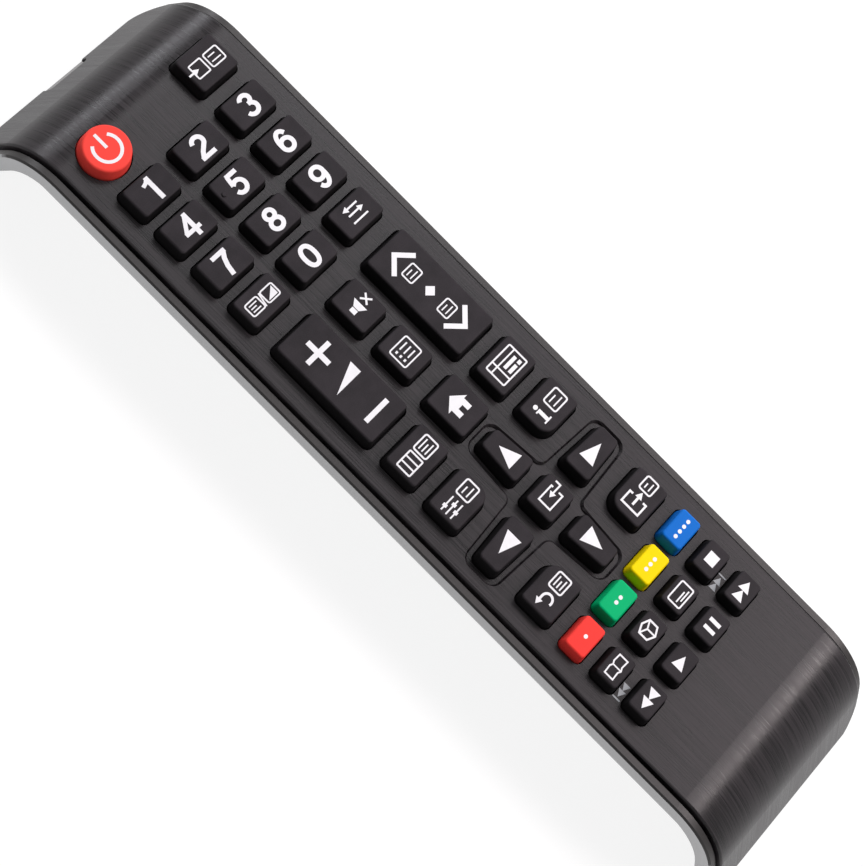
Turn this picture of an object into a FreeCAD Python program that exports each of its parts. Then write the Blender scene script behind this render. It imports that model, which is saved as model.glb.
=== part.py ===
"""A slim television remote control.

A brushed top cover, bent down at both ends, drops into a glossy lower case.
Forty silicone keys and two rockers stand up through it. Under the keys lie
the keypad mat and the circuit board, and below these a bay for two cells,
closed by a cover that slides off over the tail.

The frame stands on the table: +X across, +Y towards the infrared end, +Z up,
with the origin under the middle of the case. Sizes are in millimetres.
"""

import FreeCAD, Part
import math
import os
import Sketcher
from FreeCAD import Placement, Rotation, Vector

SIZES = [
    # Case
    ("case_half_length", 92.6), ("case_half_width", 23.5), ("case_corner", 5.0),
    ("case_bottom_round", 2.5), ("deck_height", 18.7),
    ("base_half_width", 17.0), ("side_round", 2.0), ("band_depth", 4.2),
    ("tail_bend_place", -74.25), ("tail_bend_radius", 16.0), ("tail_slope", 62.0),
    ("head_bend_place", 75.55), ("head_bend_radius", 14.0), ("head_slope", 62.0),
    # Lower case
    ("rim_step", 0.9), ("rim_half_width", 23.2), ("rim_band", 0.45), ("side_wall", 1.5),
    ("floor_thickness", 1.5), ("ledge_depth", 3.2), ("ledge_reach", 2.0),
    ("ledge_thickness", 1.6), ("lower_wall", 3.0), ("shelf_height", 11.0),
    ("room_half_width", 15.6),
    ("boss_radius", 2.2), ("boss_across", 13.8), ("boss_first", 66.0), ("boss_pitch", 33.0),
    # Top cover
    ("groove", 0.5), ("deck_wall", 1.4), ("skirt_wall", 1.3), ("deck_edge_round", 0.4),
    ("recess_depth", 0.6), ("recess_bevel", 0.35), ("recess_inner_round", 1.8),
    ("recess_corner", 1.9), ("recess_reach_across", 18.9), ("recess_reach_along", 16.6),
    ("recess_arm_across_tip", 3.7), ("recess_arm_across_root", 4.9),
    ("recess_arm_along_tip", 3.5), ("recess_arm_along_root", 4.7),
    # Infrared window
    ("eye_width", 10.1), ("eye_height", 4.4), ("eye_corner", 1.2),
    ("eye_gap", 0.1), ("eye_sunk", 0.5), ("eye_thickness", 1.2),
    # Battery cover and its runners
    ("door_half_width", 12.8), ("door_head", -26.0), ("door_thickness", 1.4),
    ("door_lip", 0.8), ("door_tongue", 1.2), ("door_gap", 0.2), ("door_deck", 1.0),
    ("grip_width", 13.0), ("grip_groove", 0.8), ("grip_depth", 0.4), ("grip_pitch", 1.8),
    ("grip_place", -44.0), ("grip_count", 5),
    # Cells and their bay
    ("cell_diameter", 10.5), ("cell_length", 44.5), ("nub_diameter", 3.6), ("nub_length", 0.9),
    ("cell_round", 0.6), ("cell_spacing", 11.5), ("cell_gap", 0.3), ("bay_wall", 1.0),
    ("bay_head", -27.8), ("bay_roof", 1.0), ("spring_length", 3.7), ("contact_sheet", 0.4),
    ("contact_width", 8.0), ("contact_height", 8.0), ("contact_tab", 2.0), ("tab_gap", 0.15),
    ("spring_wire", 0.5), ("spring_wide", 3.3), ("spring_narrow", 2.1), ("spring_turns", 3.5),
    # Board and keypad mat
    ("board_thickness", 1.0), ("board_half_width", 18.6), ("board_head", 79.4),
    ("board_tail", -64.0), ("board_corner", 2.0), ("mat_thickness", 0.5), ("mat_margin", 0.3),
    # Parts on the board
    ("chip_width", 7.5), ("chip_length", 17.9), ("chip_thickness", 2.3), ("chip_lead", 1.4),
    ("chip_lead_width", 0.42), ("chip_lead_pitch", 1.27), ("chip_lead_count", 14),
    ("chip_lead_thickness", 0.25), ("chip_place", 30.0),
    ("can_diameter", 5.0), ("can_length", 9.0), ("can_place", 52.0), ("can_across", -9.0),
    ("resonator_width", 3.5), ("resonator_length", 7.0), ("resonator_height", 4.5),
    ("resonator_across", 9.5), ("resonator_place", 46.0),
    ("transistor_width", 1.4), ("transistor_length", 2.9), ("transistor_height", 1.1),
    ("transistor_across", 6.0), ("transistor_place", 70.0),
    ("resistor_width", 1.25), ("resistor_length", 2.0), ("resistor_height", 0.55),
    ("resistor_pitch", 3.2), ("resistor_count", 6), ("resistor_across", 4.0),
    ("resistor_place", 58.0),
    ("led_diameter", 4.0), ("led_length", 6.0), ("led_flange", 0.8), ("led_flange_reach", 0.4),
    ("led_height", 5.0), ("led_place", 79.0), ("led_lead", 0.5), ("led_lead_spacing", 2.54),
    # Keys
    ("key_rise", 2.5), ("key_draft", 9.0), ("key_edge_round", 0.45), ("key_corner", 1.05),
    ("key_gap", 0.25), ("rocker_gap", 0.35), ("key_travel", 0.8), ("press_gap", 0.25),
    ("flange_reach", 0.5), ("flange_thickness", 0.6), ("flange_drop", 0.8),
    ("dot_diameter", 0.9), ("dot_height", 0.25), ("dot_across", 3.5),
    ("pill_radius", 2.2), ("pill_spread", 8.0), ("pill_gap", 0.35),
    # Places of the keys
    ("column_pitch", 12.43), ("digit_row", 63.95), ("row_pitch", 8.87),
    ("digit_width", 9.9), ("digit_length", 6.8),
    ("power_diameter", 9.6), ("power_across", 13.0), ("power_place", 74.3),
    ("source_length", 8.3), ("source_place", 74.35),
    ("rocker_width", 10.8), ("rocker_length", 23.7), ("rocker_across", 12.0),
    ("rocker_place", 18.3), ("slim_width", 7.5), ("slim_length", 8.9),
    ("mute_place", 25.2), ("list_place", 13.85),
    ("menu_width", 10.45), ("menu_length", 7.75), ("menu_across", 12.3), ("menu_place", -0.25),
    ("home_width", 8.5), ("home_length", 9.8), ("home_place", 0.85),
    ("tool_width", 10.1), ("tool_length", 7.8), ("tool_across", 12.55), ("tool_corner", 2.9),
    ("tool_upper_place", -10.65), ("tool_lower_place", -33.15),
    ("pad_place", -21.85), ("enter_width", 7.7), ("enter_length", 7.0),
    ("arrow_root_half", 3.2), ("arrow_tip_half", 2.65), ("arrow_corner", 1.2),
    ("arrow_across_root", 7.0), ("arrow_across_tip", 17.8),
    ("arrow_along_root", 5.9), ("arrow_along_tip", 15.5),
    ("quad_pitch", 9.35), ("colour_place", -42.55), ("colour_width", 7.6), ("colour_length", 5.2),
    ("small_width", 7.1), ("small_length", 5.45),
    ("upper_small_place", -50.05), ("lower_small_place", -57.85),
]

# Heights that the stack of pieces gives, each as words of the sheet
DECK = "sizes.deck_height"
DECK_UNDER = "(sizes.deck_height - sizes.deck_wall)"
FLANGE_TOP = f"({DECK_UNDER} - sizes.flange_drop)"
FLANGE_UNDER = f"({FLANGE_TOP} - sizes.flange_thickness)"
DECK_FLOOR = "(sizes.door_thickness + sizes.door_gap)"
CELL_BASE = "(sizes.door_thickness + sizes.cell_gap)"
CELL_MIDDLE = f"({CELL_BASE} + sizes.cell_diameter / 2)"
BAY_CEILING = f"({CELL_BASE} + sizes.cell_diameter + sizes.door_gap)"
BOARD_UNDER = f"({BAY_CEILING} + sizes.bay_roof)"
BOARD_TOP = f"({BOARD_UNDER} + sizes.board_thickness)"
MAT_TOP = f"({BOARD_TOP} + sizes.mat_thickness)"
PILL_END = f"({BOARD_TOP} + sizes.key_travel + sizes.press_gap)"
HEAD_SEAT = "sizes.floor_thickness"
TAIL_SEAT = f"({DECK_FLOOR} + sizes.door_deck)"
COVER_HALF = "(sizes.case_half_width - sizes.side_wall - sizes.groove)"
BAY_HALF = "(sizes.cell_spacing / 2 + sizes.cell_diameter / 2 + sizes.cell_gap)"
BAY_TAIL = "(sizes.bay_head - sizes.cell_length - sizes.spring_length - 2 * sizes.contact_sheet)"
DOOR_TONGUE_HALF = "(sizes.door_half_width + sizes.door_tongue)"

BEYOND = "10"

doc = FreeCAD.newDocument("television_remote")
sheet = doc.addObject("Spreadsheet::Sheet", "sizes")
for row, (alias, number) in enumerate(SIZES, start=1):
    sheet.set(f"A{row}", alias)
    sheet.set(f"B{row}", str(number))
    sheet.setAlias(f"B{row}", alias)
doc.recompute()

ROCKERS = ("key_volume", "key_channel")

nodes = []


def value(words):
    """The number that an expression of the sheet comes to now."""
    return float(sheet.evalExpression(str(words)))


def new_body(label):
    """A body whose label names its node."""
    body = doc.addObject("PartDesign::Body", label)
    body.Label = label
    nodes.append(body)
    return body


def new_sketch(body, role, plane, lift="0", across="0", along="0"):
    """A sketch on one of the body's own origin planes, moved off it by lift."""
    sketch = body.newObject("Sketcher::SketchObject", f"{body.Name}_{role}")
    origin_plane = next(f for f in body.Origin.OriginFeatures if f.Role == plane)
    sketch.AttachmentSupport = [(origin_plane, "")]
    sketch.MapMode = "FlatFace"
    sketch.setExpression("AttachmentOffset.Base.x", across)
    sketch.setExpression("AttachmentOffset.Base.y", along)
    sketch.setExpression("AttachmentOffset.Base.z", lift)
    return sketch


def dimension(sketch, kind, *where, words):
    """A constraint that takes its number from words of the sheet."""
    number = value(words)
    if kind == "Angle":
        number = math.radians(number)
    index = sketch.addConstraint(Sketcher.Constraint(kind, *where, number))
    sketch.setExpression(f"Constraints[{index}]", str(words))


def place_point(sketch, item, point, across, along):
    """Ties a point of the sketch to its distances from the sketch's origin."""
    dimension(sketch, "DistanceX", -1, 1, item, point, words=across)
    dimension(sketch, "DistanceY", -1, 1, item, point, words=along)


def polygon(sketch, corners):
    """A closed outline of straight lines through corners given as words."""
    points = [Vector(value(x), value(y), 0) for x, y in corners]
    first = sketch.GeometryCount
    for i, point in enumerate(points):
        sketch.addGeometry(Part.LineSegment(point, points[(i + 1) % len(points)]), False)
    for i, (x, y) in enumerate(corners):
        after = first + (i + 1) % len(corners)
        sketch.addConstraint(Sketcher.Constraint("Coincident", first + i, 2, after, 1))
        place_point(sketch, first + i, 1, x, y)


def box_outline(sketch, low_x, low_y, high_x, high_y):
    """A rectangle between two opposite corners given as words."""
    polygon(sketch, [(low_x, low_y), (high_x, low_y), (high_x, high_y), (low_x, high_y)])


def hull(sketch, discs, grow="0"):
    """The outline round a ring of discs, anticlockwise, as arcs and tangent lines.

    Each disc is (across, along, radius) in words, and grow widens every radius,
    so a hole and the piece in it come from the same discs.
    """
    rings = [(value(x), value(y), value(f"{r} + {grow}")) for x, y, r in discs]
    if len(discs) == 1:
        x, y, r = rings[0]
        circle = sketch.addGeometry(Part.Circle(Vector(x, y, 0), Vector(0, 0, 1), r), False)
        place_point(sketch, circle, 3, discs[0][0], discs[0][1])
        dimension(sketch, "Radius", circle, words=f"{discs[0][2]} + {grow}")
        return
    outward = []
    for i, (x, y, r) in enumerate(rings):
        next_x, next_y, next_r = rings[(i + 1) % len(rings)]
        length = math.hypot(next_x - x, next_y - y)
        heading = math.atan2(next_y - y, next_x - x)
        outward.append(heading - math.acos((r - next_r) / length))
    first = sketch.GeometryCount
    count = len(rings)
    for i, (x, y, r) in enumerate(rings):
        start, end = outward[i - 1], outward[i]
        while end < start:
            end += 2 * math.pi
        circle = Part.Circle(Vector(x, y, 0), Vector(0, 0, 1), r)
        sketch.addGeometry(Part.ArcOfCircle(circle, start, end), False)
    for i, (x, y, r) in enumerate(rings):
        next_x, next_y, next_r = rings[(i + 1) % count]
        side = Vector(math.cos(outward[i]), math.sin(outward[i]), 0)
        start = Vector(x, y, 0) + side * r
        end = Vector(next_x, next_y, 0) + side * next_r
        sketch.addGeometry(Part.LineSegment(start, end), False)
    for i, (x, y, r) in enumerate(discs):
        arc, line = first + i, first + count + i
        sketch.addConstraint(Sketcher.Constraint("Tangent", arc, 2, line, 1))
        sketch.addConstraint(Sketcher.Constraint("Tangent", line, 2, first + (i + 1) % count, 1))
        place_point(sketch, arc, 3, x, y)
        dimension(sketch, "Radius", arc, words=f"{r} + {grow}")


def corner_discs(half_x, half_y, radius):
    """Four discs that round the corners of a rectangle about the sketch's origin."""
    x, y = f"({half_x} - {radius})", f"({half_y} - {radius})"
    return [(x, f"-{y}", radius), (x, y, radius), (f"-{x}", y, radius), (f"-{x}", f"-{y}", radius)]


def deck_line(sketch, drop, tail_level, head_level):
    """The bent line of the deck, seen from the side, sunk by drop along its normal.

    Returns the head slope and the tail slope, whose first points are still
    free to slide: they are put at head_level and tail_level to begin with.
    """
    bends = []
    for end, turn in (("head", 1), ("tail", -1)):
        across = f"sizes.{end}_bend_place"
        height = f"{DECK} - sizes.{end}_bend_radius"
        radius = f"sizes.{end}_bend_radius - {drop}"
        slope = math.radians(value(f"sizes.{end}_slope"))
        centre, r = Vector(value(across), value(height), 0), value(radius)
        normal = Vector(turn * math.sin(slope), math.cos(slope), 0)
        level = value(head_level if turn > 0 else tail_level)
        knee = centre + normal * r
        run = (knee.y - level) / math.tan(slope)
        foot = Vector(knee.x + turn * run, level, 0)
        bends.append((across, height, radius, centre, r, slope, knee, foot))
    (_, _, _, head_centre, head_r, head_slope, head_knee, head_foot) = bends[0]
    (_, _, _, tail_centre, tail_r, tail_slope, tail_knee, tail_foot) = bends[1]
    up, axis = math.pi / 2, Vector(0, 0, 1)
    head_line = sketch.addGeometry(Part.LineSegment(head_foot, head_knee), False)
    head_arc = sketch.addGeometry(
        Part.ArcOfCircle(Part.Circle(head_centre, axis, head_r), up - head_slope, up), False)
    flat = sketch.addGeometry(Part.LineSegment(
        head_centre + Vector(0, head_r, 0), tail_centre + Vector(0, tail_r, 0)), False)
    tail_arc = sketch.addGeometry(
        Part.ArcOfCircle(Part.Circle(tail_centre, axis, tail_r), up, up + tail_slope), False)
    tail_line = sketch.addGeometry(Part.LineSegment(tail_foot, tail_knee), False)
    for joint in ((head_line, 2, head_arc, 1), (head_arc, 2, flat, 1),
                  (flat, 2, tail_arc, 1), (tail_arc, 2, tail_line, 2)):
        sketch.addConstraint(Sketcher.Constraint("Tangent", *joint))
    for arc, bend in ((head_arc, bends[0]), (tail_arc, bends[1])):
        place_point(sketch, arc, 3, bend[0], bend[1])
        dimension(sketch, "Radius", arc, words=bend[2])
    dimension(sketch, "Angle", head_line, words="180 - sizes.head_slope")
    dimension(sketch, "Angle", tail_line, words="sizes.tail_slope")
    return head_line, tail_line


def below_deck(sketch, drop, level):
    """The closed side view between the sunk deck line and a level."""
    head_line, tail_line = deck_line(sketch, drop, level, level)
    head_foot = sketch.getPoint(head_line, 1)
    tail_foot = sketch.getPoint(tail_line, 1)
    base = sketch.addGeometry(Part.LineSegment(tail_foot, head_foot), False)
    sketch.addConstraint(Sketcher.Constraint("Coincident", base, 1, tail_line, 1))
    sketch.addConstraint(Sketcher.Constraint("Coincident", base, 2, head_line, 1))
    sketch.addConstraint(Sketcher.Constraint("Horizontal", base))
    dimension(sketch, "DistanceY", -1, 1, base, 1, words=level)


def above_deck(sketch, drop, tail_level, head_level):
    """The closed side view above the sunk deck line, down to a level beyond each tip."""
    head_line, tail_line = deck_line(sketch, drop, tail_level, head_level)
    head_foot = sketch.getPoint(head_line, 1)
    tail_foot = sketch.getPoint(tail_line, 1)
    far, top = f"sizes.case_half_length + {BEYOND}", f"{DECK} + {BEYOND}"
    reach, ceiling = value(far), value(top)
    points = [head_foot, Vector(reach, head_foot.y, 0), Vector(reach, ceiling, 0),
              Vector(-reach, ceiling, 0), Vector(-reach, tail_foot.y, 0), tail_foot]
    lines = [sketch.addGeometry(Part.LineSegment(a, b), False)
             for a, b in zip(points, points[1:])]
    sketch.addConstraint(Sketcher.Constraint("Coincident", lines[0], 1, head_line, 1))
    sketch.addConstraint(Sketcher.Constraint("Coincident", lines[-1], 2, tail_line, 1))
    for before, after in zip(lines, lines[1:]):
        sketch.addConstraint(Sketcher.Constraint("Coincident", before, 2, after, 1))
    sketch.addConstraint(Sketcher.Constraint("Horizontal", lines[0]))
    sketch.addConstraint(Sketcher.Constraint("Horizontal", lines[-1]))
    place_point(sketch, lines[0], 2, far, head_level)
    place_point(sketch, lines[2], 1, far, top)
    place_point(sketch, lines[2], 2, f"-({far})", top)
    place_point(sketch, lines[-1], 1, f"-({far})", tail_level)


def feature(body, kind, sketch, length="1", both_ways=False, back=False):
    """A pad or pocket of one sketch, over a length given as words."""
    made = body.newObject(f"PartDesign::{kind}", f"{sketch.Name}_{kind.lower()}")
    made.Profile = sketch
    made.Refine = False
    made.setExpression("Length", length)
    if both_ways:
        made.SideType = "Symmetric"
    made.Reversed = back
    sketch.Visibility = False
    return made


def pad(body, sketch, length, both_ways=False, back=False):
    return feature(body, "Pad", sketch, length, both_ways, back)


def pocket(body, sketch, length, both_ways=False, back=False):
    """Cuts along minus the sketch's normal, or along it where back is set."""
    return feature(body, "Pocket", sketch, length, both_ways, back)


def edges_where(shape, test):
    """The names of the edges whose every vertex passes a test."""
    return [f"Edge{i}" for i, edge in enumerate(shape.Edges, start=1)
            if edge.Vertexes and all(test(vertex.Point) for vertex in edge.Vertexes)]


def side_edges(body, half_width, base):
    """The edges along the bent deck on both sides of a block, without those at its base."""
    shape = body.Shape
    return [name for name in edges_where(shape, lambda p: near(abs(p.x), half_width))
            if not all(near(v.Point.z, base) for v in shape.getElement(name).Vertexes)]


def dress(body, kind, names, words):
    """A fillet or chamfer of the tip's named edges, or round its named faces."""
    base = body.Tip
    made = body.newObject(f"PartDesign::{kind}", f"{body.Name}_{kind.lower()}")
    made.Base = (base, names)
    made.setExpression("Radius" if kind == "Fillet" else "Size", words)
    made.Refine = False
    return made


def near(number, words):
    """Whether a coordinate lies where words of the sheet put it."""
    return abs(number - value(words)) < 0.01


def rounded_box(low_x, low_y, high_x, high_y, radius):
    """Discs that round the corners of a rectangle given by two opposite corners."""
    left, right = f"({low_x} + {radius})", f"({high_x} - {radius})"
    bottom, top = f"({low_y} + {radius})", f"({high_y} - {radius})"
    return [(right, bottom, radius), (right, top, radius),
            (left, top, radius), (left, bottom, radius)]


def key_block(width, length):
    """The discs of an oblong key."""
    return corner_discs(f"sizes.{width} / 2", f"sizes.{length} / 2", "sizes.key_corner")


def tool_block(side, end):
    """The discs of a corner key, whose corner towards side and end is cut round."""
    discs = []
    for x, y in ((1, -1), (1, 1), (-1, 1), (-1, -1)):
        radius = "sizes.tool_corner" if (x, y) == (side, end) else "sizes.key_corner"
        discs.append((f"{x} * (sizes.tool_width / 2 - {radius})",
                      f"{y} * (sizes.tool_length / 2 - {radius})", radius))
    return discs


def arrow_block(way, turn):
    """The discs of an arrow key, which narrows outwards. Turn maps outwards to the key's way."""
    half = f"(sizes.arrow_{way}_tip - sizes.arrow_{way}_root) / 2"
    corner = "sizes.arrow_corner"
    discs = []
    for side, outwards in ((1, -1), (1, 1), (-1, 1), (-1, -1)):
        width = "sizes.arrow_tip_half" if outwards > 0 else "sizes.arrow_root_half"
        sideways = f"{side} * ({width} - {corner})"
        out = f"{outwards} * ({half} - {corner})"
        x, y = turn(sideways, out)
        discs.append((x, y, corner))
    return discs


def arrow_middle(way):
    """How far the middle of an arrow key lies from the middle of the pad."""
    return f"(sizes.arrow_{way}_tip + sizes.arrow_{way}_root) / 2"


def list_keys():
    """Every key as its node, the place of its middle, its discs and its gap in the cover."""
    keys = []

    def add(label, across, along, discs, gap="sizes.key_gap"):
        keys.append((label, across, along, discs, gap))

    digit = key_block("digit_width", "digit_length")
    labels = ["1", "2", "3", "4", "5", "6", "7", "8", "9", "text", "0", "previous"]
    for i, label in enumerate(labels):
        add(f"key_{label}", f"{i % 3 - 1} * sizes.column_pitch",
            f"sizes.digit_row - {i // 3} * sizes.row_pitch", digit)
    add("key_power", "-sizes.power_across", "sizes.power_place",
        [("0", "0", "sizes.power_diameter / 2")])
    add("key_source", "sizes.column_pitch", "sizes.source_place",
        key_block("digit_width", "source_length"))
    rocker = key_block("rocker_width", "rocker_length")
    add("key_volume", "-sizes.rocker_across", "sizes.rocker_place", rocker, "sizes.rocker_gap")
    add("key_channel", "sizes.rocker_across", "sizes.rocker_place", rocker, "sizes.rocker_gap")
    slim = key_block("slim_width", "slim_length")
    add("key_mute", "0", "sizes.mute_place", slim)
    add("key_channel_list", "0", "sizes.list_place", slim)
    menu = key_block("menu_width", "menu_length")
    add("key_menu", "-sizes.menu_across", "sizes.menu_place", menu)
    add("key_guide", "sizes.menu_across", "sizes.menu_place", menu)
    add("key_home", "0", "sizes.home_place", key_block("home_width", "home_length"))
    add("key_tools", "-sizes.tool_across", "sizes.tool_upper_place", tool_block(1, -1))
    add("key_info", "sizes.tool_across", "sizes.tool_upper_place", tool_block(-1, -1))
    add("key_return", "-sizes.tool_across", "sizes.tool_lower_place", tool_block(1, 1))
    add("key_exit", "sizes.tool_across", "sizes.tool_lower_place", tool_block(-1, 1))
    add("key_enter", "0", "sizes.pad_place", key_block("enter_width", "enter_length"))
    add("key_up", "0", f"sizes.pad_place + {arrow_middle('along')}",
        arrow_block("along", lambda side, out: (side, out)))
    add("key_down", "0", f"sizes.pad_place - {arrow_middle('along')}",
        arrow_block("along", lambda side, out: (f"-({side})", f"-({out})")))
    add("key_left", f"-{arrow_middle('across')}", "sizes.pad_place",
        arrow_block("across", lambda side, out: (f"-({out})", side)))
    add("key_right", arrow_middle("across"), "sizes.pad_place",
        arrow_block("across", lambda side, out: (out, f"-({side})")))
    small = key_block("small_width", "small_length")
    rows = [
        ("colour_place", key_block("colour_width", "colour_length"),
         ["red", "green", "yellow", "blue"]),
        ("upper_small_place", small, ["manual", "depth", "subtitle", "stop"]),
        ("lower_small_place", small, ["rewind", "play", "pause", "forward"]),
    ]
    for place, discs, names in rows:
        for i, name in enumerate(names):
            add(f"key_{name}", f"{i - 1.5} * sizes.quad_pitch", f"sizes.{place}", discs)
    return keys


def pill_discs(label):
    """The round contact pills under a key: one, or one at each end of a rocker."""
    if label in ROCKERS:
        return [("0", "-sizes.pill_spread", "sizes.pill_radius"),
                ("0", "sizes.pill_spread", "sizes.pill_radius")]
    return [("0", "0", "sizes.pill_radius")]


def make_key(label, across, along, discs):
    """A silicone key: a flange under the cover, a shaft through it, a cap and its pills."""
    body = new_body(label)
    body.setExpression("Placement.Base.x", across)
    body.setExpression("Placement.Base.y", along)
    flange = new_sketch(body, "flange", "XY_Plane", FLANGE_UNDER)
    hull(flange, discs, "sizes.flange_reach")
    pad(body, flange, "sizes.flange_thickness")
    shaft = new_sketch(body, "shaft", "XY_Plane", FLANGE_TOP)
    hull(shaft, discs)
    pad(body, shaft, f"{DECK} - {FLANGE_TOP}")
    pills = new_sketch(body, "pills", "XY_Plane", PILL_END)
    for disc in pill_discs(label):
        hull(pills, [disc])
    pad(body, pills, f"{FLANGE_UNDER} - {PILL_END}")
    cap = new_sketch(body, "cap", "XY_Plane", DECK)
    hull(cap, discs)
    cap_pad = pad(body, cap, "sizes.key_rise")
    cap_pad.setExpression("TaperAngle", "-sizes.key_draft")
    return body


def round_top(body, words):
    """Rounds the edge of a body's highest face."""
    faces = body.Shape.Faces
    top = max(range(len(faces)), key=lambda i: faces[i].CenterOfMass.z)
    dress(body, "Fillet", [f"Face{top + 1}"], words)


def make_openings(label, keys, lift, depth):
    """One prism for every key, from lift down by depth, to cut the cover with."""
    prisms = []
    for key, across, along, discs, gap in keys:
        sketch = doc.addObject("Sketcher::SketchObject", f"{label}_{key}_outline")
        sketch.setExpression("Placement.Base.x", across)
        sketch.setExpression("Placement.Base.y", along)
        sketch.setExpression("Placement.Base.z", lift)
        hull(sketch, discs, gap)
        prism = doc.addObject("Part::Extrusion", f"{label}_{key}")
        prism.Base = sketch
        prism.DirMode = "Normal"
        prism.Reversed = True
        prism.Solid = True
        prism.setExpression("LengthFwd", depth)
        prisms.append(prism)
    made = doc.addObject("Part::Compound", label)
    made.Links = prisms
    return made


def make_top_cover(keys):
    """The brushed cover: a bent deck with side skirts, the pad's recess and the key openings."""
    body = new_body("top_cover_blank")
    nodes.remove(body)
    deck = new_sketch(body, "deck", "YZ_Plane")
    below_deck(deck, "0", HEAD_SEAT)
    pad(body, deck, f"2 * {COVER_HALF}", both_ways=True)
    doc.recompute()
    dress(body, "Fillet", side_edges(body, COVER_HALF, HEAD_SEAT), "sizes.deck_edge_round")
    trim_outside(body, "corners", "XY_Plane",
                 corner_discs(COVER_HALF, "sizes.case_half_length", "sizes.case_corner"),
                 f"{DECK} + {BEYOND}")
    cut_pad_recess(body)
    for role, drop, width in (
            ("room", "sizes.deck_wall", f"2 * ({COVER_HALF} - sizes.skirt_wall)"),
            ("skirts", "sizes.ledge_depth", f"2 * sizes.case_half_width")):
        inside = new_sketch(body, role, "YZ_Plane")
        below_deck(inside, drop, f"-{BEYOND}")
        pocket(body, inside, width, both_ways=True)
    tail = new_sketch(body, "tail_seat", "XY_Plane", TAIL_SEAT)
    box_outline(tail, "-sizes.case_half_width", f"-sizes.case_half_length - {BEYOND}",
                "sizes.case_half_width", "sizes.tail_bend_place")
    pocket(body, tail, TAIL_SEAT)
    eye = new_sketch(body, "eye", "XZ_Plane", f"-sizes.case_half_length - {BEYOND}")
    hull(eye, rounded_box("-sizes.eye_width / 2", f"-{BEYOND}", "sizes.eye_width / 2",
                          "sizes.eye_height", "sizes.eye_corner"))
    pocket(body, eye, f"sizes.case_half_length + {BEYOND} - sizes.head_bend_place", back=True)
    cover = doc.addObject("Part::Cut", "top_cover")
    cover.Base = body
    cover.Tool = make_openings("window", keys, f"{DECK} + 1", "sizes.deck_wall + 2")
    cover.Label = "top_cover"
    nodes.append(cover)


def cut_pad_recess(body):
    """The shallow cross round the arrow keys, with rounded inner corners and a bevelled edge."""
    corner = "sizes.recess_corner"
    arms = (("across", lambda out, side: (out, side)), ("along", lambda out, side: (side, out)))
    for way, place in arms:
        reach = f"(sizes.recess_reach_{way} - {corner})"
        tip = f"(sizes.recess_arm_{way}_tip - {corner})"
        root = f"(sizes.recess_arm_{way}_root - {corner})"
        ring = [(reach, f"-{tip}"), (reach, tip), ("0", root), (f"-{reach}", tip),
                (f"-{reach}", f"-{tip}"), ("0", f"-{root}")]
        if way == "along":
            ring.reverse()
        arm = new_sketch(body, f"recess_{way}", "XY_Plane", DECK, "0", "sizes.pad_place")
        hull(arm, [(*place(out, side), corner) for out, side in ring])
        pocket(body, arm, "sizes.recess_depth")
    doc.recompute()
    middle = value("sizes.pad_place")
    inner = edges_where(body.Shape, lambda p: 2 < abs(p.x) < 7 and 2 < abs(p.y - middle) < 7
                        and p.z > value(f"{DECK} - sizes.recess_depth") - 0.01)
    upright = [name for name in inner
               if abs(body.Shape.getElement(name).tangentAt(0).z) > 0.9]
    dress(body, "Fillet", upright, "sizes.recess_inner_round")
    doc.recompute()
    reach = value("sizes.recess_reach_across") + 0.1
    rim = edges_where(body.Shape, lambda p: near(p.z, DECK) and abs(p.x) < reach
                      and abs(p.y - middle) < reach)
    dress(body, "Chamfer", rim, "sizes.recess_bevel")


def make_eye_window():
    """The dark infrared window that fills the notch at the foot of the head slope."""
    body = new_body("ir_window")
    side = new_sketch(body, "side", "YZ_Plane")
    slope = "tan(sizes.head_slope)"
    corner = "(sizes.head_bend_place + sizes.head_bend_radius * tan(sizes.head_slope / 2))"
    top = "(sizes.eye_height - sizes.eye_gap)"

    def on_slope(level, drop):
        sunk = f"({drop}) / sin(sizes.head_slope)"
        return (f"{corner} + ({DECK} - {level}) / {slope} - {sunk}", level)

    front, back = "sizes.eye_sunk", "sizes.eye_sunk + sizes.eye_thickness"
    polygon(side, [on_slope(HEAD_SEAT, back), on_slope(HEAD_SEAT, front),
                   on_slope(top, front), on_slope(top, back)])
    pad(body, side, "sizes.eye_width - 2 * sizes.eye_gap", both_ways=True)
    doc.recompute()
    upper = [name for name in edges_where(body.Shape, lambda p: near(p.z, top))
             if abs(body.Shape.getElement(name).tangentAt(0).x) < 0.1]
    dress(body, "Fillet", upper, "sizes.eye_corner - sizes.eye_gap")
    return body


def make_bottom_cover():
    """The glossy lower case: a tub with a banded rim, a ledge for the cover and the cell bay."""
    body = new_body("bottom_cover")
    block = new_sketch(body, "block", "YZ_Plane")
    below_deck(block, "sizes.rim_step", "0")
    pad(body, block, "2 * sizes.case_half_width", both_ways=True)
    doc.recompute()
    band = dress(body, "Chamfer", side_edges(body, "sizes.case_half_width", "0"),
                 "sizes.rim_band")
    band.ChamferType = "Two distances"
    band.FlipDirection = True
    band.setExpression("Size2", "sizes.case_half_width - sizes.rim_half_width")
    trim_outside(body, "plan", "XY_Plane",
                 corner_discs("sizes.case_half_width", "sizes.case_half_length",
                              "sizes.case_corner"), f"{DECK} + {BEYOND}")
    cut_flanks(body)
    hollow_bottom_cover(body)
    add_cell_bay(body)
    return body


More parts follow.
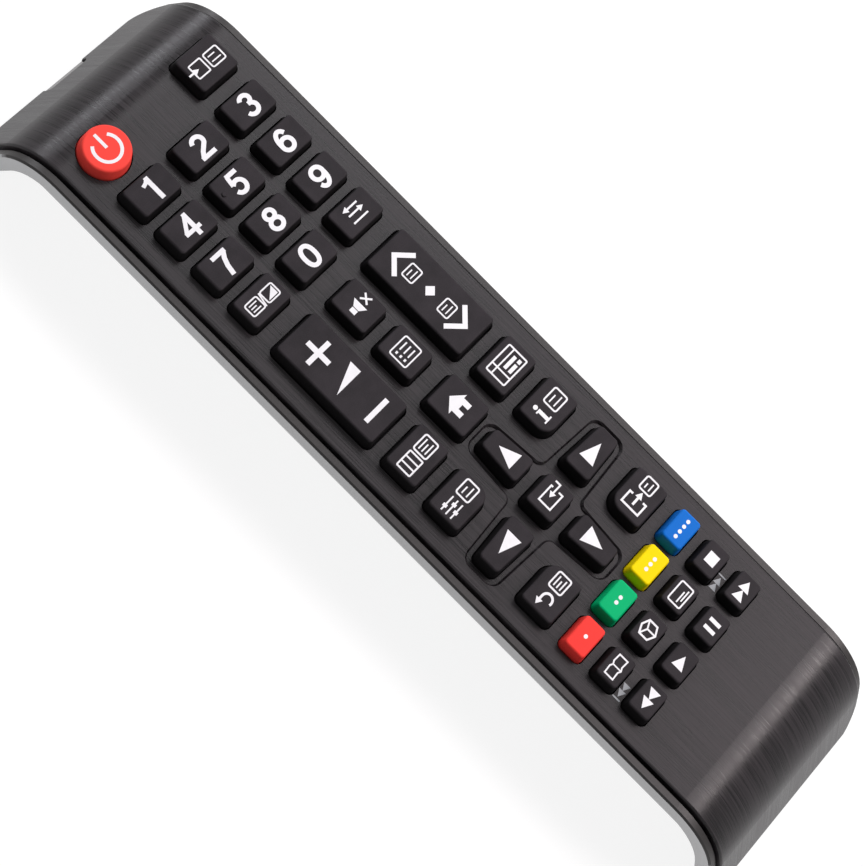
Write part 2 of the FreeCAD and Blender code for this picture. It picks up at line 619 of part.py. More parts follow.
def tub_discs():
    """The discs of the lower case seen from an end: upright above, drawn in to a narrow base."""
    foot = ("(sizes.base_half_width - sizes.case_bottom_round)", "sizes.case_bottom_round",
            "sizes.case_bottom_round")
    flank = ("(sizes.case_half_width - sizes.side_round)", f"({DECK} - sizes.band_depth)",
             "sizes.side_round")
    top = ("(sizes.case_half_width - sizes.side_round)", f"2 * {DECK}", "sizes.side_round")
    right = [foot, flank, top]
    return right + [(f"-{x}", z, radius) for x, z, radius in reversed(right)]


def cut_flanks(body):
    """Draws the sides in below the band that follows the rim down both ends."""
    tool = new_body("flanks")
    nodes.remove(tool)
    outside = new_sketch(tool, "outside", "XZ_Plane")
    hull(outside, tub_discs())
    far = f"2 * ({DECK})"
    box_outline(outside, f"-({far})", f"-({far})", far, f"3 * ({DECK})")
    pad(tool, outside, "4 * sizes.case_half_length", both_ways=True)
    above = new_sketch(tool, "above_band", "YZ_Plane")
    above_deck(above, "sizes.band_depth", f"-{BEYOND}", f"-{BEYOND}")
    pocket(tool, above, f"5 * ({DECK})", both_ways=True)
    doc.recompute()
    cut = body.newObject("PartDesign::Boolean", "bottom_cover_flanks")
    cut.Type = "Cut"
    cut.Refine = False
    cut.addObjects([tool])
    doc.recompute()


def trim_outside(body, role, plane, discs, reach):
    """Cuts away all that lies outside an outline, both ways from the plane."""
    sketch = new_sketch(body, role, plane)
    hull(sketch, discs)
    far = "(2 * sizes.case_half_length)"
    box_outline(sketch, f"-{far}", f"-{far}", far, far)
    pocket(body, sketch, f"2 * ({reach})", both_ways=True)


def hollow_bottom_cover(body):
    """Opens the tub, leaving its walls, shelf, floor, ledge and the deck over the battery cover."""
    wall_inside = "(sizes.case_half_width - sizes.side_wall)"
    mouth = new_sketch(body, "mouth", "YZ_Plane")
    above_deck(mouth, "sizes.ledge_depth", TAIL_SEAT, HEAD_SEAT)
    pocket(body, mouth, f"2 * {wall_inside}", both_ways=True)
    inside = new_sketch(body, "inside", "XY_Plane", "sizes.shelf_height")
    box_outline(inside, f"-({wall_inside} - sizes.ledge_reach)", "-sizes.case_half_length",
                f"({wall_inside} - sizes.ledge_reach)", "sizes.case_half_length")
    pocket(body, inside, DECK, back=True)
    under = new_sketch(body, "under_ledge", "XY_Plane", "sizes.shelf_height")
    under_half = "(sizes.case_half_width - sizes.lower_wall)"
    box_outline(under, f"-{under_half}", "sizes.tail_bend_place", under_half,
                "sizes.head_bend_place")
    pocket(body, under,
           f"{DECK} - sizes.ledge_depth - sizes.ledge_thickness - sizes.shelf_height", back=True)
    room = new_sketch(body, "lower_room", "YZ_Plane")
    below_deck(room, "sizes.rim_step", TAIL_SEAT)
    pocket(body, room, "2 * sizes.room_half_width", both_ways=True)
    front = new_sketch(body, "front_floor", "XY_Plane", "sizes.floor_thickness")
    box_outline(front, "-sizes.room_half_width",
                "sizes.door_head + sizes.bay_wall + sizes.door_gap",
                "sizes.room_half_width", "sizes.head_bend_place + sizes.head_bend_radius")
    pocket(body, front, f"{TAIL_SEAT} - sizes.floor_thickness + sizes.board_thickness", back=True)


def add_cell_bay(body):
    """The bosses under the board, the box round the cells and the runners of their cover."""
    bosses = new_sketch(body, "bosses", "XY_Plane", "sizes.floor_thickness / 2")
    for side in ("-", ""):
        for i in range(3):
            hull(bosses, [(f"{side}sizes.boss_across", f"sizes.boss_first - {i} * sizes.boss_pitch",
                           "sizes.boss_radius")])
    pad(body, bosses, f"{BOARD_UNDER} - sizes.floor_thickness / 2")
    outer = new_sketch(body, "bay_outside", "XY_Plane", DECK_FLOOR)
    bay_outside = f"({BAY_HALF} + sizes.bay_wall)"
    box_outline(outer, f"-{bay_outside}", f"{BAY_TAIL} - sizes.bay_wall", bay_outside,
                "sizes.bay_head + sizes.bay_wall")
    pad(body, outer, f"{BOARD_UNDER} - {DECK_FLOOR}")
    runner = new_sketch(body, "runner", "XZ_Plane", "-sizes.door_head - sizes.door_gap")
    mouth, slot = "(sizes.door_half_width + sizes.door_gap)", f"({DOOR_TONGUE_HALF} + sizes.door_gap)"
    lip = "(sizes.door_lip - sizes.door_gap)"
    polygon(runner, [(f"-{mouth}", f"-{BEYOND}"), (mouth, f"-{BEYOND}"), (mouth, lip),
                     (slot, lip), (slot, DECK_FLOOR), (f"-{slot}", DECK_FLOOR),
                     (f"-{slot}", lip), (f"-{mouth}", lip)])
    pocket(body, runner, "sizes.case_half_length", back=True)
    inner = new_sketch(body, "bay_inside", "XY_Plane", BAY_CEILING)
    box_outline(inner, f"-{BAY_HALF}", BAY_TAIL, BAY_HALF, "sizes.bay_head")
    pocket(body, inner, BAY_CEILING)
    slots = new_sketch(body, "tab_slots", "XY_Plane", BOARD_UNDER)
    for middle in ("-sizes.cell_spacing / 2", "sizes.cell_spacing / 2"):
        half = "(sizes.contact_tab / 2 + sizes.tab_gap)"
        box_outline(slots, f"{middle} - {half}", "sizes.bay_head - sizes.contact_sheet"
                    " - sizes.tab_gap", f"{middle} + {half}", "sizes.bay_head + sizes.tab_gap")
    pocket(body, slots, "sizes.bay_roof + sizes.tab_gap")


def make_battery_cover():
    """The sliding cover: a plate whose side tongues run in the lower case, with a ribbed grip."""
    body = new_body("battery_cover")
    section = new_sketch(body, "section", "XZ_Plane", "-sizes.door_head")
    plate, tongue = "sizes.door_half_width", DOOR_TONGUE_HALF
    polygon(section, [(f"-{plate}", "0"), (plate, "0"), (plate, "sizes.door_lip"),
                      (tongue, "sizes.door_lip"), (tongue, "sizes.door_thickness"),
                      (f"-{tongue}", "sizes.door_thickness"), (f"-{tongue}", "sizes.door_lip"),
                      (f"-{plate}", "sizes.door_lip")])
    pad(body, section, "sizes.case_half_length + sizes.door_head")
    tail = new_sketch(body, "tail", "YZ_Plane")
    above_deck(tail, "sizes.rim_step", "0", "0")
    pocket(body, tail, "2 * sizes.case_half_width", both_ways=True)
    grip = new_sketch(body, "grip", "XY_Plane", "0", "0", "sizes.grip_place")
    box_outline(grip, "-sizes.grip_width / 2", "-sizes.grip_groove / 2", "sizes.grip_width / 2",
                "sizes.grip_groove / 2")
    groove = pocket(body, grip, "sizes.grip_depth", back=True)
    pattern = body.newObject("PartDesign::LinearPattern", "battery_cover_grip_pattern")
    pattern.Originals = [groove]
    pattern.Direction = (grip, ["V_Axis"])
    pattern.setExpression("Length", "sizes.grip_pitch * (sizes.grip_count - 1)")
    pattern.setExpression("Occurrences", "sizes.grip_count")
    pattern.Refine = False
    body.Tip = pattern
    return body


def make_cell(label, across, along, turned):
    """A round cell with its positive nub, negative end at the place given."""
    body = new_body(label)
    body.Placement = Placement(Vector(), Rotation(Vector(0, 0, 1), 180 if turned else 0))
    body.setExpression("Placement.Base.x", across)
    body.setExpression("Placement.Base.y", along)
    body.setExpression("Placement.Base.z", CELL_MIDDLE)
    profile = new_sketch(body, "profile", "XY_Plane")
    shoulder = "sizes.cell_length - sizes.nub_length"
    can, nub = "sizes.cell_diameter / 2", "sizes.nub_diameter / 2"
    polygon(profile, [("0", "0"), (can, "0"), (can, shoulder), (nub, shoulder),
                      (nub, "sizes.cell_length"), ("0", "sizes.cell_length")])
    turn = body.newObject("PartDesign::Revolution", f"{label}_revolution")
    turn.Profile = profile
    turn.ReferenceAxis = (profile, ["V_Axis"])
    turn.Angle = 360
    turn.Refine = False
    doc.recompute()
    radius = value(can)
    rims = [f"Edge{i}" for i, edge in enumerate(turn.Shape.Edges, start=1)
            if isinstance(edge.Curve, Part.Circle) and abs(edge.Curve.Radius - radius) < 0.01]
    dress(body, "Fillet", rims, "sizes.cell_round")
    return body


def biarc_edges(start, start_way, end, end_way):
    """Two arcs, tangent to each other, from one point and heading to the next."""
    chord, ways = end - start, start_way + end_way
    spread = 2 * (1 - start_way.dot(end_way))
    reach = (-chord.dot(ways) + math.sqrt(chord.dot(ways) ** 2 + spread * chord.dot(chord))) / spread
    first_corner, last_corner = start + start_way * reach, end - end_way * reach
    joint = (first_corner + last_corner) * 0.5
    edges = []
    for a, corner, b in ((start, first_corner, joint), (joint, last_corner, end)):
        middle = (a + b) * 0.5
        half, rise = (b - a).Length / 2, (corner - middle).Length
        sagitta = half * math.tan(math.atan2(rise, half) / 2)
        edges.append(Part.Arc(a, middle + (corner - middle) * (sagitta / rise), b).toShape())
    return edges


def coil_shape():
    """A conical spring along +Z from its wide foot, as one round wire on biarcs."""
    wire = value("sizes.spring_wire")
    wide, narrow = value("sizes.spring_wide"), value("sizes.spring_narrow")
    turns, height = value("sizes.spring_turns"), value("sizes.spring_length") - 1.4 * wire
    steps = round(turns * 4)

    def point(step):
        share, angle = step / steps, step * math.pi / 2
        radius = wide + (narrow - wide) * share
        return Vector(radius * math.cos(angle), radius * math.sin(angle),
                      0.7 * wire + height * share)

    def heading(step):
        return (point(step + 0.01) - point(step - 0.01)).normalize()

    edges = []
    for step in range(steps):
        edges += biarc_edges(point(step), heading(step), point(step + 1), heading(step + 1))
    path = Part.Wire(edges)
    ring = Part.Wire([Part.Circle(point(0), heading(0), wire / 2).toShape()])
    return path.makePipeShell([ring], True, False)


def make_contact(label, middles, at, spring_middle, spring_way, tab):
    """A sprung or flat cell contact: a plate on the bay's end wall, and its coil or tab."""
    plate = new_body(f"{label}_plate")
    nodes.remove(plate)
    low, high = f"{middles[0]} - sizes.contact_width / 2", f"{middles[-1]} + sizes.contact_width / 2"
    bottom = f"({CELL_MIDDLE} - sizes.contact_height / 2)"
    top = f"({CELL_MIDDLE} + sizes.contact_height / 2)"
    outline = new_sketch(plate, "outline", "XZ_Plane", f"-({at})")
    corners = [(low, bottom), (high, bottom), (high, top)]
    if tab:
        right = f"{middles[0]} + sizes.contact_tab / 2"
        left = f"{middles[0]} - sizes.contact_tab / 2"
        corners += [(right, top), (right, BOARD_UNDER), (left, BOARD_UNDER), (left, top)]
    polygon(outline, corners + [(low, top)])
    pad(plate, outline, "sizes.contact_sheet")
    if spring_middle is None:
        plate.Label = label
        nodes.append(plate)
        return
    spring = doc.addObject("Part::Feature", f"{label}_coil")
    spring.Shape = coil_shape()
    spring.Placement = Placement(Vector(), Rotation(Vector(1, 0, 0), 90 if spring_way < 0 else -90))
    foot = at if spring_way > 0 else f"{at} - sizes.contact_sheet"
    spring.setExpression("Placement.Base.x", spring_middle)
    spring.setExpression("Placement.Base.y", foot)
    spring.setExpression("Placement.Base.z", CELL_MIDDLE)
    group(label, [plate, spring])


def group(label, pieces):
    """Several solids as one node."""
    made = doc.addObject("Part::Compound", label)
    made.Links = pieces
    made.Label = label
    nodes.append(made)


def make_board_and_mat(keys):
    """The circuit board on its bosses, and the keypad mat that lies on it."""
    board = new_body("circuit_board")
    outline = new_sketch(board, "outline", "XY_Plane", BOARD_UNDER)
    hull(outline, rounded_box("-sizes.board_half_width", "sizes.board_tail",
                              "sizes.board_half_width", "sizes.board_head", "sizes.board_corner"))
    pad(board, outline, "sizes.board_thickness")
    mat = new_body("keypad_mat")
    sheet_outline = new_sketch(mat, "outline", "XY_Plane", BOARD_TOP)
    hull(sheet_outline, rounded_box("-sizes.board_half_width", "sizes.board_tail",
                                    "sizes.board_half_width", "sizes.board_head",
                                    "sizes.board_corner"), "-sizes.mat_margin")
    pad(mat, sheet_outline, "sizes.mat_thickness")
    holes = new_sketch(mat, "holes", "XY_Plane", MAT_TOP)
    for label, across, along, _, _ in keys:
        for x, y, radius in pill_discs(label):
            hull(holes, [(f"{across} + {x}", f"{along} + {y}", radius)], "sizes.pill_gap")
    pocket(mat, holes, "sizes.mat_thickness")


def primitive(kind, label, across, along, height, turn=None, **sizes):
    """A box, cylinder or sphere whose sizes and place are words of the sheet."""
    made = doc.addObject(f"Part::{kind}", label)
    if turn:
        made.Placement = Placement(Vector(), Rotation(*turn))
    for name, words in sizes.items():
        made.setExpression(name, words)
    made.setExpression("Placement.Base.x", across)
    made.setExpression("Placement.Base.y", along)
    made.setExpression("Placement.Base.z", height)
    return made


ALONG = (Vector(1, 0, 0), -90)


def bent_lead(label, across, along, height, back, diameter):
    """A wire that leaves along -Y for a length, then stands up to the board."""
    radius = f"{diameter} / 2"
    flat = primitive("Cylinder", f"{label}_flat", across, f"{along} - {back}", height, ALONG,
                     Radius=radius, Height=back)
    elbow = primitive("Sphere", f"{label}_elbow", across, f"{along} - {back}", height,
                      Radius=radius)
    riser = primitive("Cylinder", f"{label}_riser", across, f"{along} - {back}", height,
                      Radius=radius, Height=f"{BOARD_UNDER} - ({height})")
    return [flat, elbow, riser]


def fused(label, pieces):
    """One solid made of overlapping pieces."""
    made = doc.addObject("Part::MultiFuse", label)
    made.Shapes = pieces
    made.Label = label
    nodes.append(made)


def make_led():
    """The infrared emitter, aimed along +Y at the window, on two leads bent up to the board."""
    along, height, radius = "sizes.led_place", "sizes.led_height", "sizes.led_diameter / 2"
    barrel = "(sizes.led_length - sizes.led_diameter / 2)"
    pieces = [
        primitive("Cylinder", "led_barrel", "0", along, height, ALONG, Radius=radius,
                  Height=barrel),
        primitive("Sphere", "led_dome", "0", f"{along} + {barrel}", height, Radius=radius),
        primitive("Cylinder", "led_foot", "0", along, height, ALONG,
                  Radius=f"{radius} + sizes.led_flange_reach", Height="sizes.led_flange"),
    ]
    for side, sign in (("left", "-"), ("right", "")):
        pieces += bent_lead(f"led_lead_{side}", f"{sign}sizes.led_lead_spacing / 2", along,
                            height, "3 * sizes.led_lead", "sizes.led_lead")
    fused("ir_led", pieces)


def make_capacitor():
    """The can capacitor that lies under the board, with its leads bent up."""
    height = f"{BOARD_UNDER} - sizes.can_diameter / 2 - sizes.tab_gap"
    pieces = [primitive("Cylinder", "can", "sizes.can_across", "sizes.can_place", height, ALONG,
                        Radius="sizes.can_diameter / 2", Height="sizes.can_length")]
    for side, sign in (("left", "-"), ("right", "+")):
        pieces += bent_lead(f"can_lead_{side}", f"sizes.can_across {sign} sizes.can_diameter / 5",
                            "sizes.can_place", height, "3 * sizes.led_lead", "sizes.led_lead")
    fused("capacitor", pieces)


def make_chip():
    """The controller under the board: a flat block with a row of gull-wing leads each side."""
    body = new_body("controller_chip")
    block_under = f"({BOARD_UNDER} - sizes.chip_thickness)"
    block = new_sketch(body, "block", "XY_Plane", block_under, "0", "sizes.chip_place")
    hull(block, corner_discs("sizes.chip_width / 2", "sizes.chip_length / 2",
                             "sizes.chip_lead_width"))
    pad(body, block, "sizes.chip_thickness - sizes.chip_lead_thickness")
    leads = new_sketch(body, "leads", "XY_Plane", f"{BOARD_UNDER} - sizes.chip_thickness / 2",
                       "0", "sizes.chip_place")
    reach = "(sizes.chip_width / 2 + sizes.chip_lead)"
    first = "(sizes.chip_lead_pitch * (sizes.chip_lead_count - 1) / 2)"
    half = "sizes.chip_lead_width / 2"
    box_outline(leads, f"-{reach}", f"-{first} - {half}", reach, f"-{first} + {half}")
    bar = pad(body, leads, "sizes.chip_thickness / 2")
    pattern = body.newObject("PartDesign::LinearPattern", "controller_chip_leads")
    pattern.Originals = [bar]
    pattern.Direction = (leads, ["V_Axis"])
    pattern.setExpression("Length", "sizes.chip_lead_pitch * (sizes.chip_lead_count - 1)")
    pattern.setExpression("Occurrences", "sizes.chip_lead_count")
    pattern.Refine = False
    body.Tip = pattern


def make_small_parts():
    """The resonator, the transistor and the row of resistors under the board."""
    for label in ("resonator", "transistor"):
        height = f"sizes.{label}_height"
        block = primitive("Box", label, f"sizes.{label}_across - sizes.{label}_width / 2",
                          f"sizes.{label}_place", f"{BOARD_UNDER} - {height}",
                          Length=f"sizes.{label}_width", Width=f"sizes.{label}_length",
                          Height=height)
        nodes.append(block)
    row = []
    for i in range(round(value("sizes.resistor_count"))):
        across = f"sizes.resistor_across + ({i} - sizes.resistor_count / 2) * sizes.resistor_pitch"
        row.append(primitive("Box", f"resistor_{i + 1}", across, "sizes.resistor_place",
                             f"{BOARD_UNDER} - sizes.resistor_height",
                             Length="sizes.resistor_width", Width="sizes.resistor_length",
                             Height="sizes.resistor_height"))
    group("resistors", row)


def add_finder_dot(body):
    """The raised dot by which a thumb finds the middle digit."""
    dot = new_sketch(body, "dot", "XY_Plane", f"{DECK} + sizes.key_rise - sizes.dot_height",
                     "-sizes.dot_across")
    hull(dot, [("0", "0", "sizes.dot_diameter / 2")])
    pad(body, dot, "2 * sizes.dot_height")
    doc.recompute()
    round_top(body, "0.8 * sizes.dot_height")


def build():
    keys = list_keys()
    make_top_cover(keys)
    make_bottom_cover()
    make_battery_cover()
    make_eye_window()
    make_board_and_mat(keys)
    left, right = "-sizes.cell_spacing / 2", "sizes.cell_spacing / 2"
    head_face = "sizes.bay_head - sizes.contact_sheet"
    make_cell("battery_left", left, f"{head_face} - sizes.cell_length", turned=False)
    make_cell("battery_right", right, f"{head_face} - sizes.spring_length", turned=True)
    make_contact("positive_contact", [left], "sizes.bay_head", None, 0, tab=True)
    make_contact("negative_contact", [right], "sizes.bay_head", right, -1, tab=True)
    make_contact("bridge_contact", [left, right], f"{BAY_TAIL} + sizes.contact_sheet", left, 1,
                 tab=False)
    make_led()
    make_chip()
    make_capacitor()
    make_small_parts()
    bodies = {label: make_key(label, across, along, discs)
              for label, across, along, discs, _ in keys}
    doc.recompute()
    for body in bodies.values():
        round_top(body, "sizes.key_edge_round")
    add_finder_dot(bodies["key_5"])
    doc.recompute()


def check():
    """Stops if a feature failed or a node holds no sound solid."""
    for item in doc.Objects:
        if {"Invalid", "Error"} & set(item.State):
            raise RuntimeError(f"{item.Name} failed: {item.State}")
    for node in nodes:
        shape = node.Shape
        if shape.isNull() or not shape.isValid() or not shape.Solids:
            raise RuntimeError(f"{node.Label} holds no valid solid")


def export():
    os.makedirs("parts", exist_ok=True)
    for node in nodes:
        node.Shape.exportStep(f"parts/{node.Label}.step")
        print(f"{node.Label}: {len(node.Shape.Solids)} solid(s), {node.Shape.Volume:.1f} mm3")


build()
check()
export()
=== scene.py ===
import math

import bmesh
import bpy
from mathutils import Matrix, Vector


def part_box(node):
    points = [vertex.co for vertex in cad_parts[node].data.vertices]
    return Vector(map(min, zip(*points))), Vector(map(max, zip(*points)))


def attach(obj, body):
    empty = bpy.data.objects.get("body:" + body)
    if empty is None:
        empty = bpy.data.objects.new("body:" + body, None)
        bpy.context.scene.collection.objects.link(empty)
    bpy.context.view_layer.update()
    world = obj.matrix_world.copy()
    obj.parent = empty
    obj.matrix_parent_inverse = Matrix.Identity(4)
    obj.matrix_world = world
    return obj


# Looks of a television remote control. Lengths are in millimetres and go to metres through MM.
MM = 0.001
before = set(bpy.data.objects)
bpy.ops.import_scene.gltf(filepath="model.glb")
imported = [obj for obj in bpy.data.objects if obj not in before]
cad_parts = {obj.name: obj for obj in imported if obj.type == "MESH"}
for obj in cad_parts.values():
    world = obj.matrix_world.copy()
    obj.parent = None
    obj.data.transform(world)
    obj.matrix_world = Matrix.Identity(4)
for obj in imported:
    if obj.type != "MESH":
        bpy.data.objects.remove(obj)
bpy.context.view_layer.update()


def middle_of(name):
    """The middle of a CAD node's box, in millimetres."""
    low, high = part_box(name)
    return (low + high) / 2 / MM


# Shader kit
NOISE_LOW = 0.3
NOISE_HIGH = 0.7


class Shader:
    """A node tree written as calls, each of which hands on its output socket."""

    def __init__(self, name, owners=None):
        """Starts with an empty tree in a new material, or in a new one of other owners."""
        self.owner = (bpy.data.materials if owners is None else owners).new(name)
        self.owner.use_nodes = True
        self.tree = self.owner.node_tree
        self.tree.nodes.clear()

    def node(self, kind, inputs, output=0, **settings):
        """Adds a node, each of whose inputs is given as a socket or as a constant."""
        made = self.tree.nodes.new(kind)
        for name, value in settings.items():
            setattr(made, name, value)
        for name, value in inputs.items():
            if isinstance(value, bpy.types.NodeSocket):
                self.tree.links.new(value, made.inputs[name])
            else:
                made.inputs[name].default_value = value
        return made.outputs[output] if len(made.outputs) else None

    def place(self):
        """Where a point is on the piece, in metres."""
        return self.node("ShaderNodeTexCoord", {}, "Object")

    def along(self, axis):
        """One coordinate of the place, in metres."""
        return self.node("ShaderNodeSeparateXYZ", {0: self.place()}, axis)

    def facing(self, axis):
        """One component of the surface's direction on the piece."""
        normal = self.node("ShaderNodeTexCoord", {}, "Normal")
        return self.node("ShaderNodeSeparateXYZ", {0: normal}, axis)

    def maths(self, operation, first, second=0.0):
        return self.node("ShaderNodeMath", {0: first, 1: second}, operation=operation)

    def plus(self, first, second):
        return self.maths("ADD", first, second)

    def minus(self, first, second):
        return self.maths("SUBTRACT", first, second)

    def times(self, first, second):
        return self.maths("MULTIPLY", first, second)

    def blend(self, first, share, second):
        """The first value to its share, and the second for the rest."""
        return self.plus(self.times(first, share), self.times(second, 1.0 - share))

    def grain(self, size, detail=2.0, roughness=0.5):
        """Noise with features about size millimetres long along X, Y and Z."""
        stretch = [1 / (MM * length) for length in size]
        scaled = self.node("ShaderNodeVectorMath", {0: self.place(), 1: stretch},
                           operation="MULTIPLY")
        return self.node("ShaderNodeTexNoise", {"Vector": scaled, "Scale": 1.0,
                                                "Detail": detail, "Roughness": roughness})

    def clouding(self, fine, cloud):
        """Fine grain over even clouds about cloud millimetres wide."""
        return self.blend(fine, 0.45, self.grain((cloud,) * 3))

    def level(self, value, to_low, to_high, low=NOISE_LOW, high=NOISE_HIGH):
        """Value from low to high spread over to_low to to_high."""
        return self.node("ShaderNodeMapRange", {"Value": value, "From Min": low, "From Max": high,
                                                "To Min": to_low, "To Max": to_high})

    def rise(self, value, low=NOISE_LOW, high=NOISE_HIGH):
        """0 where value is below low, 1 where it is above high."""
        return self.level(value, 0.0, 1.0, low, high)

    def fall(self, value, low, high):
        """1 where value is below low, 0 where it is above high."""
        return self.level(value, 1.0, 0.0, low, high)

    def mix(self, factor, first, second):
        """First colour where factor is 0, second where it is 1."""
        made = self.tree.nodes.new("ShaderNodeMix")
        made.data_type = "RGBA"
        for socket, value in zip((made.inputs[0], made.inputs[6], made.inputs[7]),
                                 (factor, first, second)):
            if isinstance(value, bpy.types.NodeSocket):
                self.tree.links.new(value, socket)
            else:
                socket.default_value = value if isinstance(value, float) else (*value, 1.0)
        return made.outputs[2]

    def bump(self, height, depth):
        """Surface direction over a relief depth millimetres deep."""
        return self.node("ShaderNodeBump", {"Height": height, "Distance": depth * MM,
                                            "Strength": 1.0})

    def finish(self, colour, roughness, normal, metal=0.0, **constants):
        """Closes the tree with a surface whose constants are set on its own sockets."""
        inputs = {"Base Color": colour, "Roughness": roughness, "Metallic": metal,
                  "Normal": normal}
        inputs.update({name.replace("_", " "): value for name, value in constants.items()})
        surface = self.node("ShaderNodeBsdfPrincipled", inputs)
        self.node("ShaderNodeOutputMaterial", {"Surface": surface})
        return self.owner


CLOUD_SPAN = (0.35, 0.65)


def moulded(name, dark, light, roughness, grain, depth, cloud=6.0, **constants):
    """Moulded plastic or rubber: broad clouding and fine grain in colour, gloss and height."""
    shader = Shader(name)
    fine = shader.grain((grain,) * 3, detail=3.0)
    clouding = shader.clouding(fine, cloud)
    colour = shader.mix(shader.rise(clouding, *CLOUD_SPAN), dark, light)
    return shader.finish(colour, shader.level(clouding, *roughness), shader.bump(fine, depth),
                         **constants)


def dimmed(colour, share):
    return [share * part for part in colour]


# Materials
def brushed_cover():
    """Warm charcoal with hairlines that run along the case and down its slopes."""
    shader = Shader("brushed_cover")
    broad = shader.grain((1.1, 60.0, 60.0))
    hair = shader.grain((0.26, 24.0, 24.0), detail=3.0, roughness=0.65)
    fine = shader.grain((0.11, 9.0, 9.0))
    lines = shader.blend(hair, 0.6, fine)
    shade = shader.blend(lines, 0.85, broad)
    span = (0.42, 0.58)
    colour = shader.mix(shader.rise(shade, *span), (0.0052, 0.0041, 0.0049),
                        (0.0275, 0.0230, 0.0258))
    roughness = shader.level(shade, 0.26, 0.38, *span)
    across = shader.node("ShaderNodeCombineXYZ", {"X": 1.0})
    return shader.finish(colour, roughness, shader.bump(lines, 0.018), Tangent=across,
                         Specular_IOR_Level=0.20, Anisotropic=0.5)


def case_gloss():
    """Polished walls and end lips painted light grey as a painted reflection, a dark satin rim
    and a dark grained underside.
    """
    shader = Shader("case_gloss")
    upward = shader.facing("Z")
    above_lips = shader.rise(shader.along("Z"), 1.5 * MM, 2.3 * MM)
    rim = shader.times(shader.rise(upward, 0.26, 0.32), above_lips)
    underside = shader.fall(upward, -0.85, -0.75)
    satin = shader.maths("MAXIMUM", rim, underside)
    polish = shader.minus(1.0, satin)
    fine = shader.grain((0.09,) * 3, detail=3.0)
    broad = shader.grain((7.0, 16.0, 7.0))
    grained = shader.mix(shader.rise(fine), (0.0100, 0.0085, 0.0085), (0.0230, 0.0195, 0.0190))
    # Painted reflection: the polished walls get a light grey colour that stands in for the pale
    # floor they mirror.
    painted_reflection_walls = shader.mix(shader.rise(broad), (0.315, 0.320, 0.332), (0.350, 0.355, 0.367))
    roughness = shader.plus(shader.times(satin, shader.level(fine, 0.34, 0.46)),
                            shader.times(polish, shader.level(broad, 0.06, 0.12)))
    relief = shader.plus(shader.times(shader.times(fine, satin), 0.5), shader.times(broad, 0.25))
    return shader.finish(shader.mix(satin, painted_reflection_walls, grained), roughness, shader.bump(relief, 0.02),
                         Specular_IOR_Level=0.3, Coat_Weight=polish, Coat_Roughness=0.05,
                         Coat_IOR=1.9)


def cover_gloss():
    return moulded("cover_gloss", (0.010, 0.0095, 0.010), (0.021, 0.019, 0.0195),
                   roughness=(0.36, 0.5), grain=0.1, depth=0.02)


def window():
    """Dark red-black plastic, clear to infrared."""
    return moulded("window", (0.010, 0.002, 0.003), (0.022, 0.004, 0.006),
                   roughness=(0.05, 0.11), grain=0.8, depth=0.003, Transmission_Weight=0.25,
                   Coat_Weight=0.4)


def board():
    """Green solder mask over copper tracks, with bare round pads of copper."""
    shader = Shader("board")
    place = shader.node("ShaderNodeVectorMath", {0: shader.place(), 1: (420.0, 300.0, 300.0)},
                        operation="MULTIPLY")
    tracks = shader.node("ShaderNodeTexBrick",
                         {"Vector": place, "Scale": 1.0, "Mortar Size": 0.13,
                          "Mortar Smooth": 0.1, "Brick Width": 2.6, "Row Height": 0.6}, "Fac")
    pads = shader.node("ShaderNodeTexVoronoi", {"Vector": shader.place(), "Scale": 210.0},
                       "Distance")
    copper = shader.fall(pads, 0.16, 0.18)
    fine = shader.grain((0.5,) * 3, detail=3.0)
    mask = shader.mix(tracks, (0.010, 0.085, 0.035), (0.018, 0.15, 0.06))
    shaded = shader.mix(shader.level(fine, 0.0, 0.35), mask, (0.006, 0.05, 0.022))
    colour = shader.mix(copper, shaded, (0.70, 0.50, 0.22))
    return shader.finish(colour, shader.level(fine, 0.22, 0.36),
                         shader.bump(shader.plus(tracks, copper), 0.03), metal=copper)


def keypad_sheet():
    return moulded("keypad_sheet", (0.075, 0.074, 0.078), (0.13, 0.128, 0.132),
                   roughness=(0.45, 0.6), grain=0.25, depth=0.02, Subsurface_Weight=0.15,
                   Subsurface_Scale=0.002)


def cell_wrap(name, node, positive_head):
    """A printed wrap between bare steel ends, with a pale band towards the positive end."""
    low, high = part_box(node)
    length = high.y - low.y
    head, foot, band_start, band_end = 1.5 * MM, 0.7 * MM, 8.5 * MM, 12.5 * MM
    edge = 0.1 * MM
    shader = Shader(name)
    place = shader.along("Y")
    far = shader.minus(high.y, place) if positive_head else shader.minus(place, low.y)
    steel = shader.maths("MAXIMUM", shader.fall(far, head, head + edge),
                         shader.rise(far, length - foot, length - foot + edge))
    band = shader.times(shader.rise(far, band_start, band_start + edge),
                        shader.fall(far, band_end, band_end + edge))
    fine = shader.grain((0.4, 3.0, 0.4), detail=3.0)
    wrap = shader.mix(shader.rise(fine), (0.018, 0.045, 0.075), (0.028, 0.065, 0.105))
    printed = shader.mix(band, wrap, (0.50, 0.52, 0.52))
    colour = shader.mix(steel, printed, (0.66, 0.65, 0.62))
    return shader.finish(colour, shader.level(fine, 0.20, 0.32), shader.bump(fine, 0.008),
                         metal=steel)


def contact():
    """Nickel-plated spring steel, drawn along its length."""
    shader = Shader("contact")
    drawn = shader.grain((0.12, 1.6, 1.6), detail=3.0)
    colour = shader.mix(shader.rise(drawn), (0.50, 0.48, 0.44), (0.74, 0.72, 0.68))
    return shader.finish(colour, shader.level(drawn, 0.18, 0.34), shader.bump(drawn, 0.006),
                         metal=1.0)


def led_lens():
    return moulded("led_lens", (0.10, 0.07, 0.20), (0.16, 0.12, 0.28), roughness=(0.04, 0.10),
                   grain=0.7, depth=0.004, Transmission_Weight=0.7, IOR=1.54)


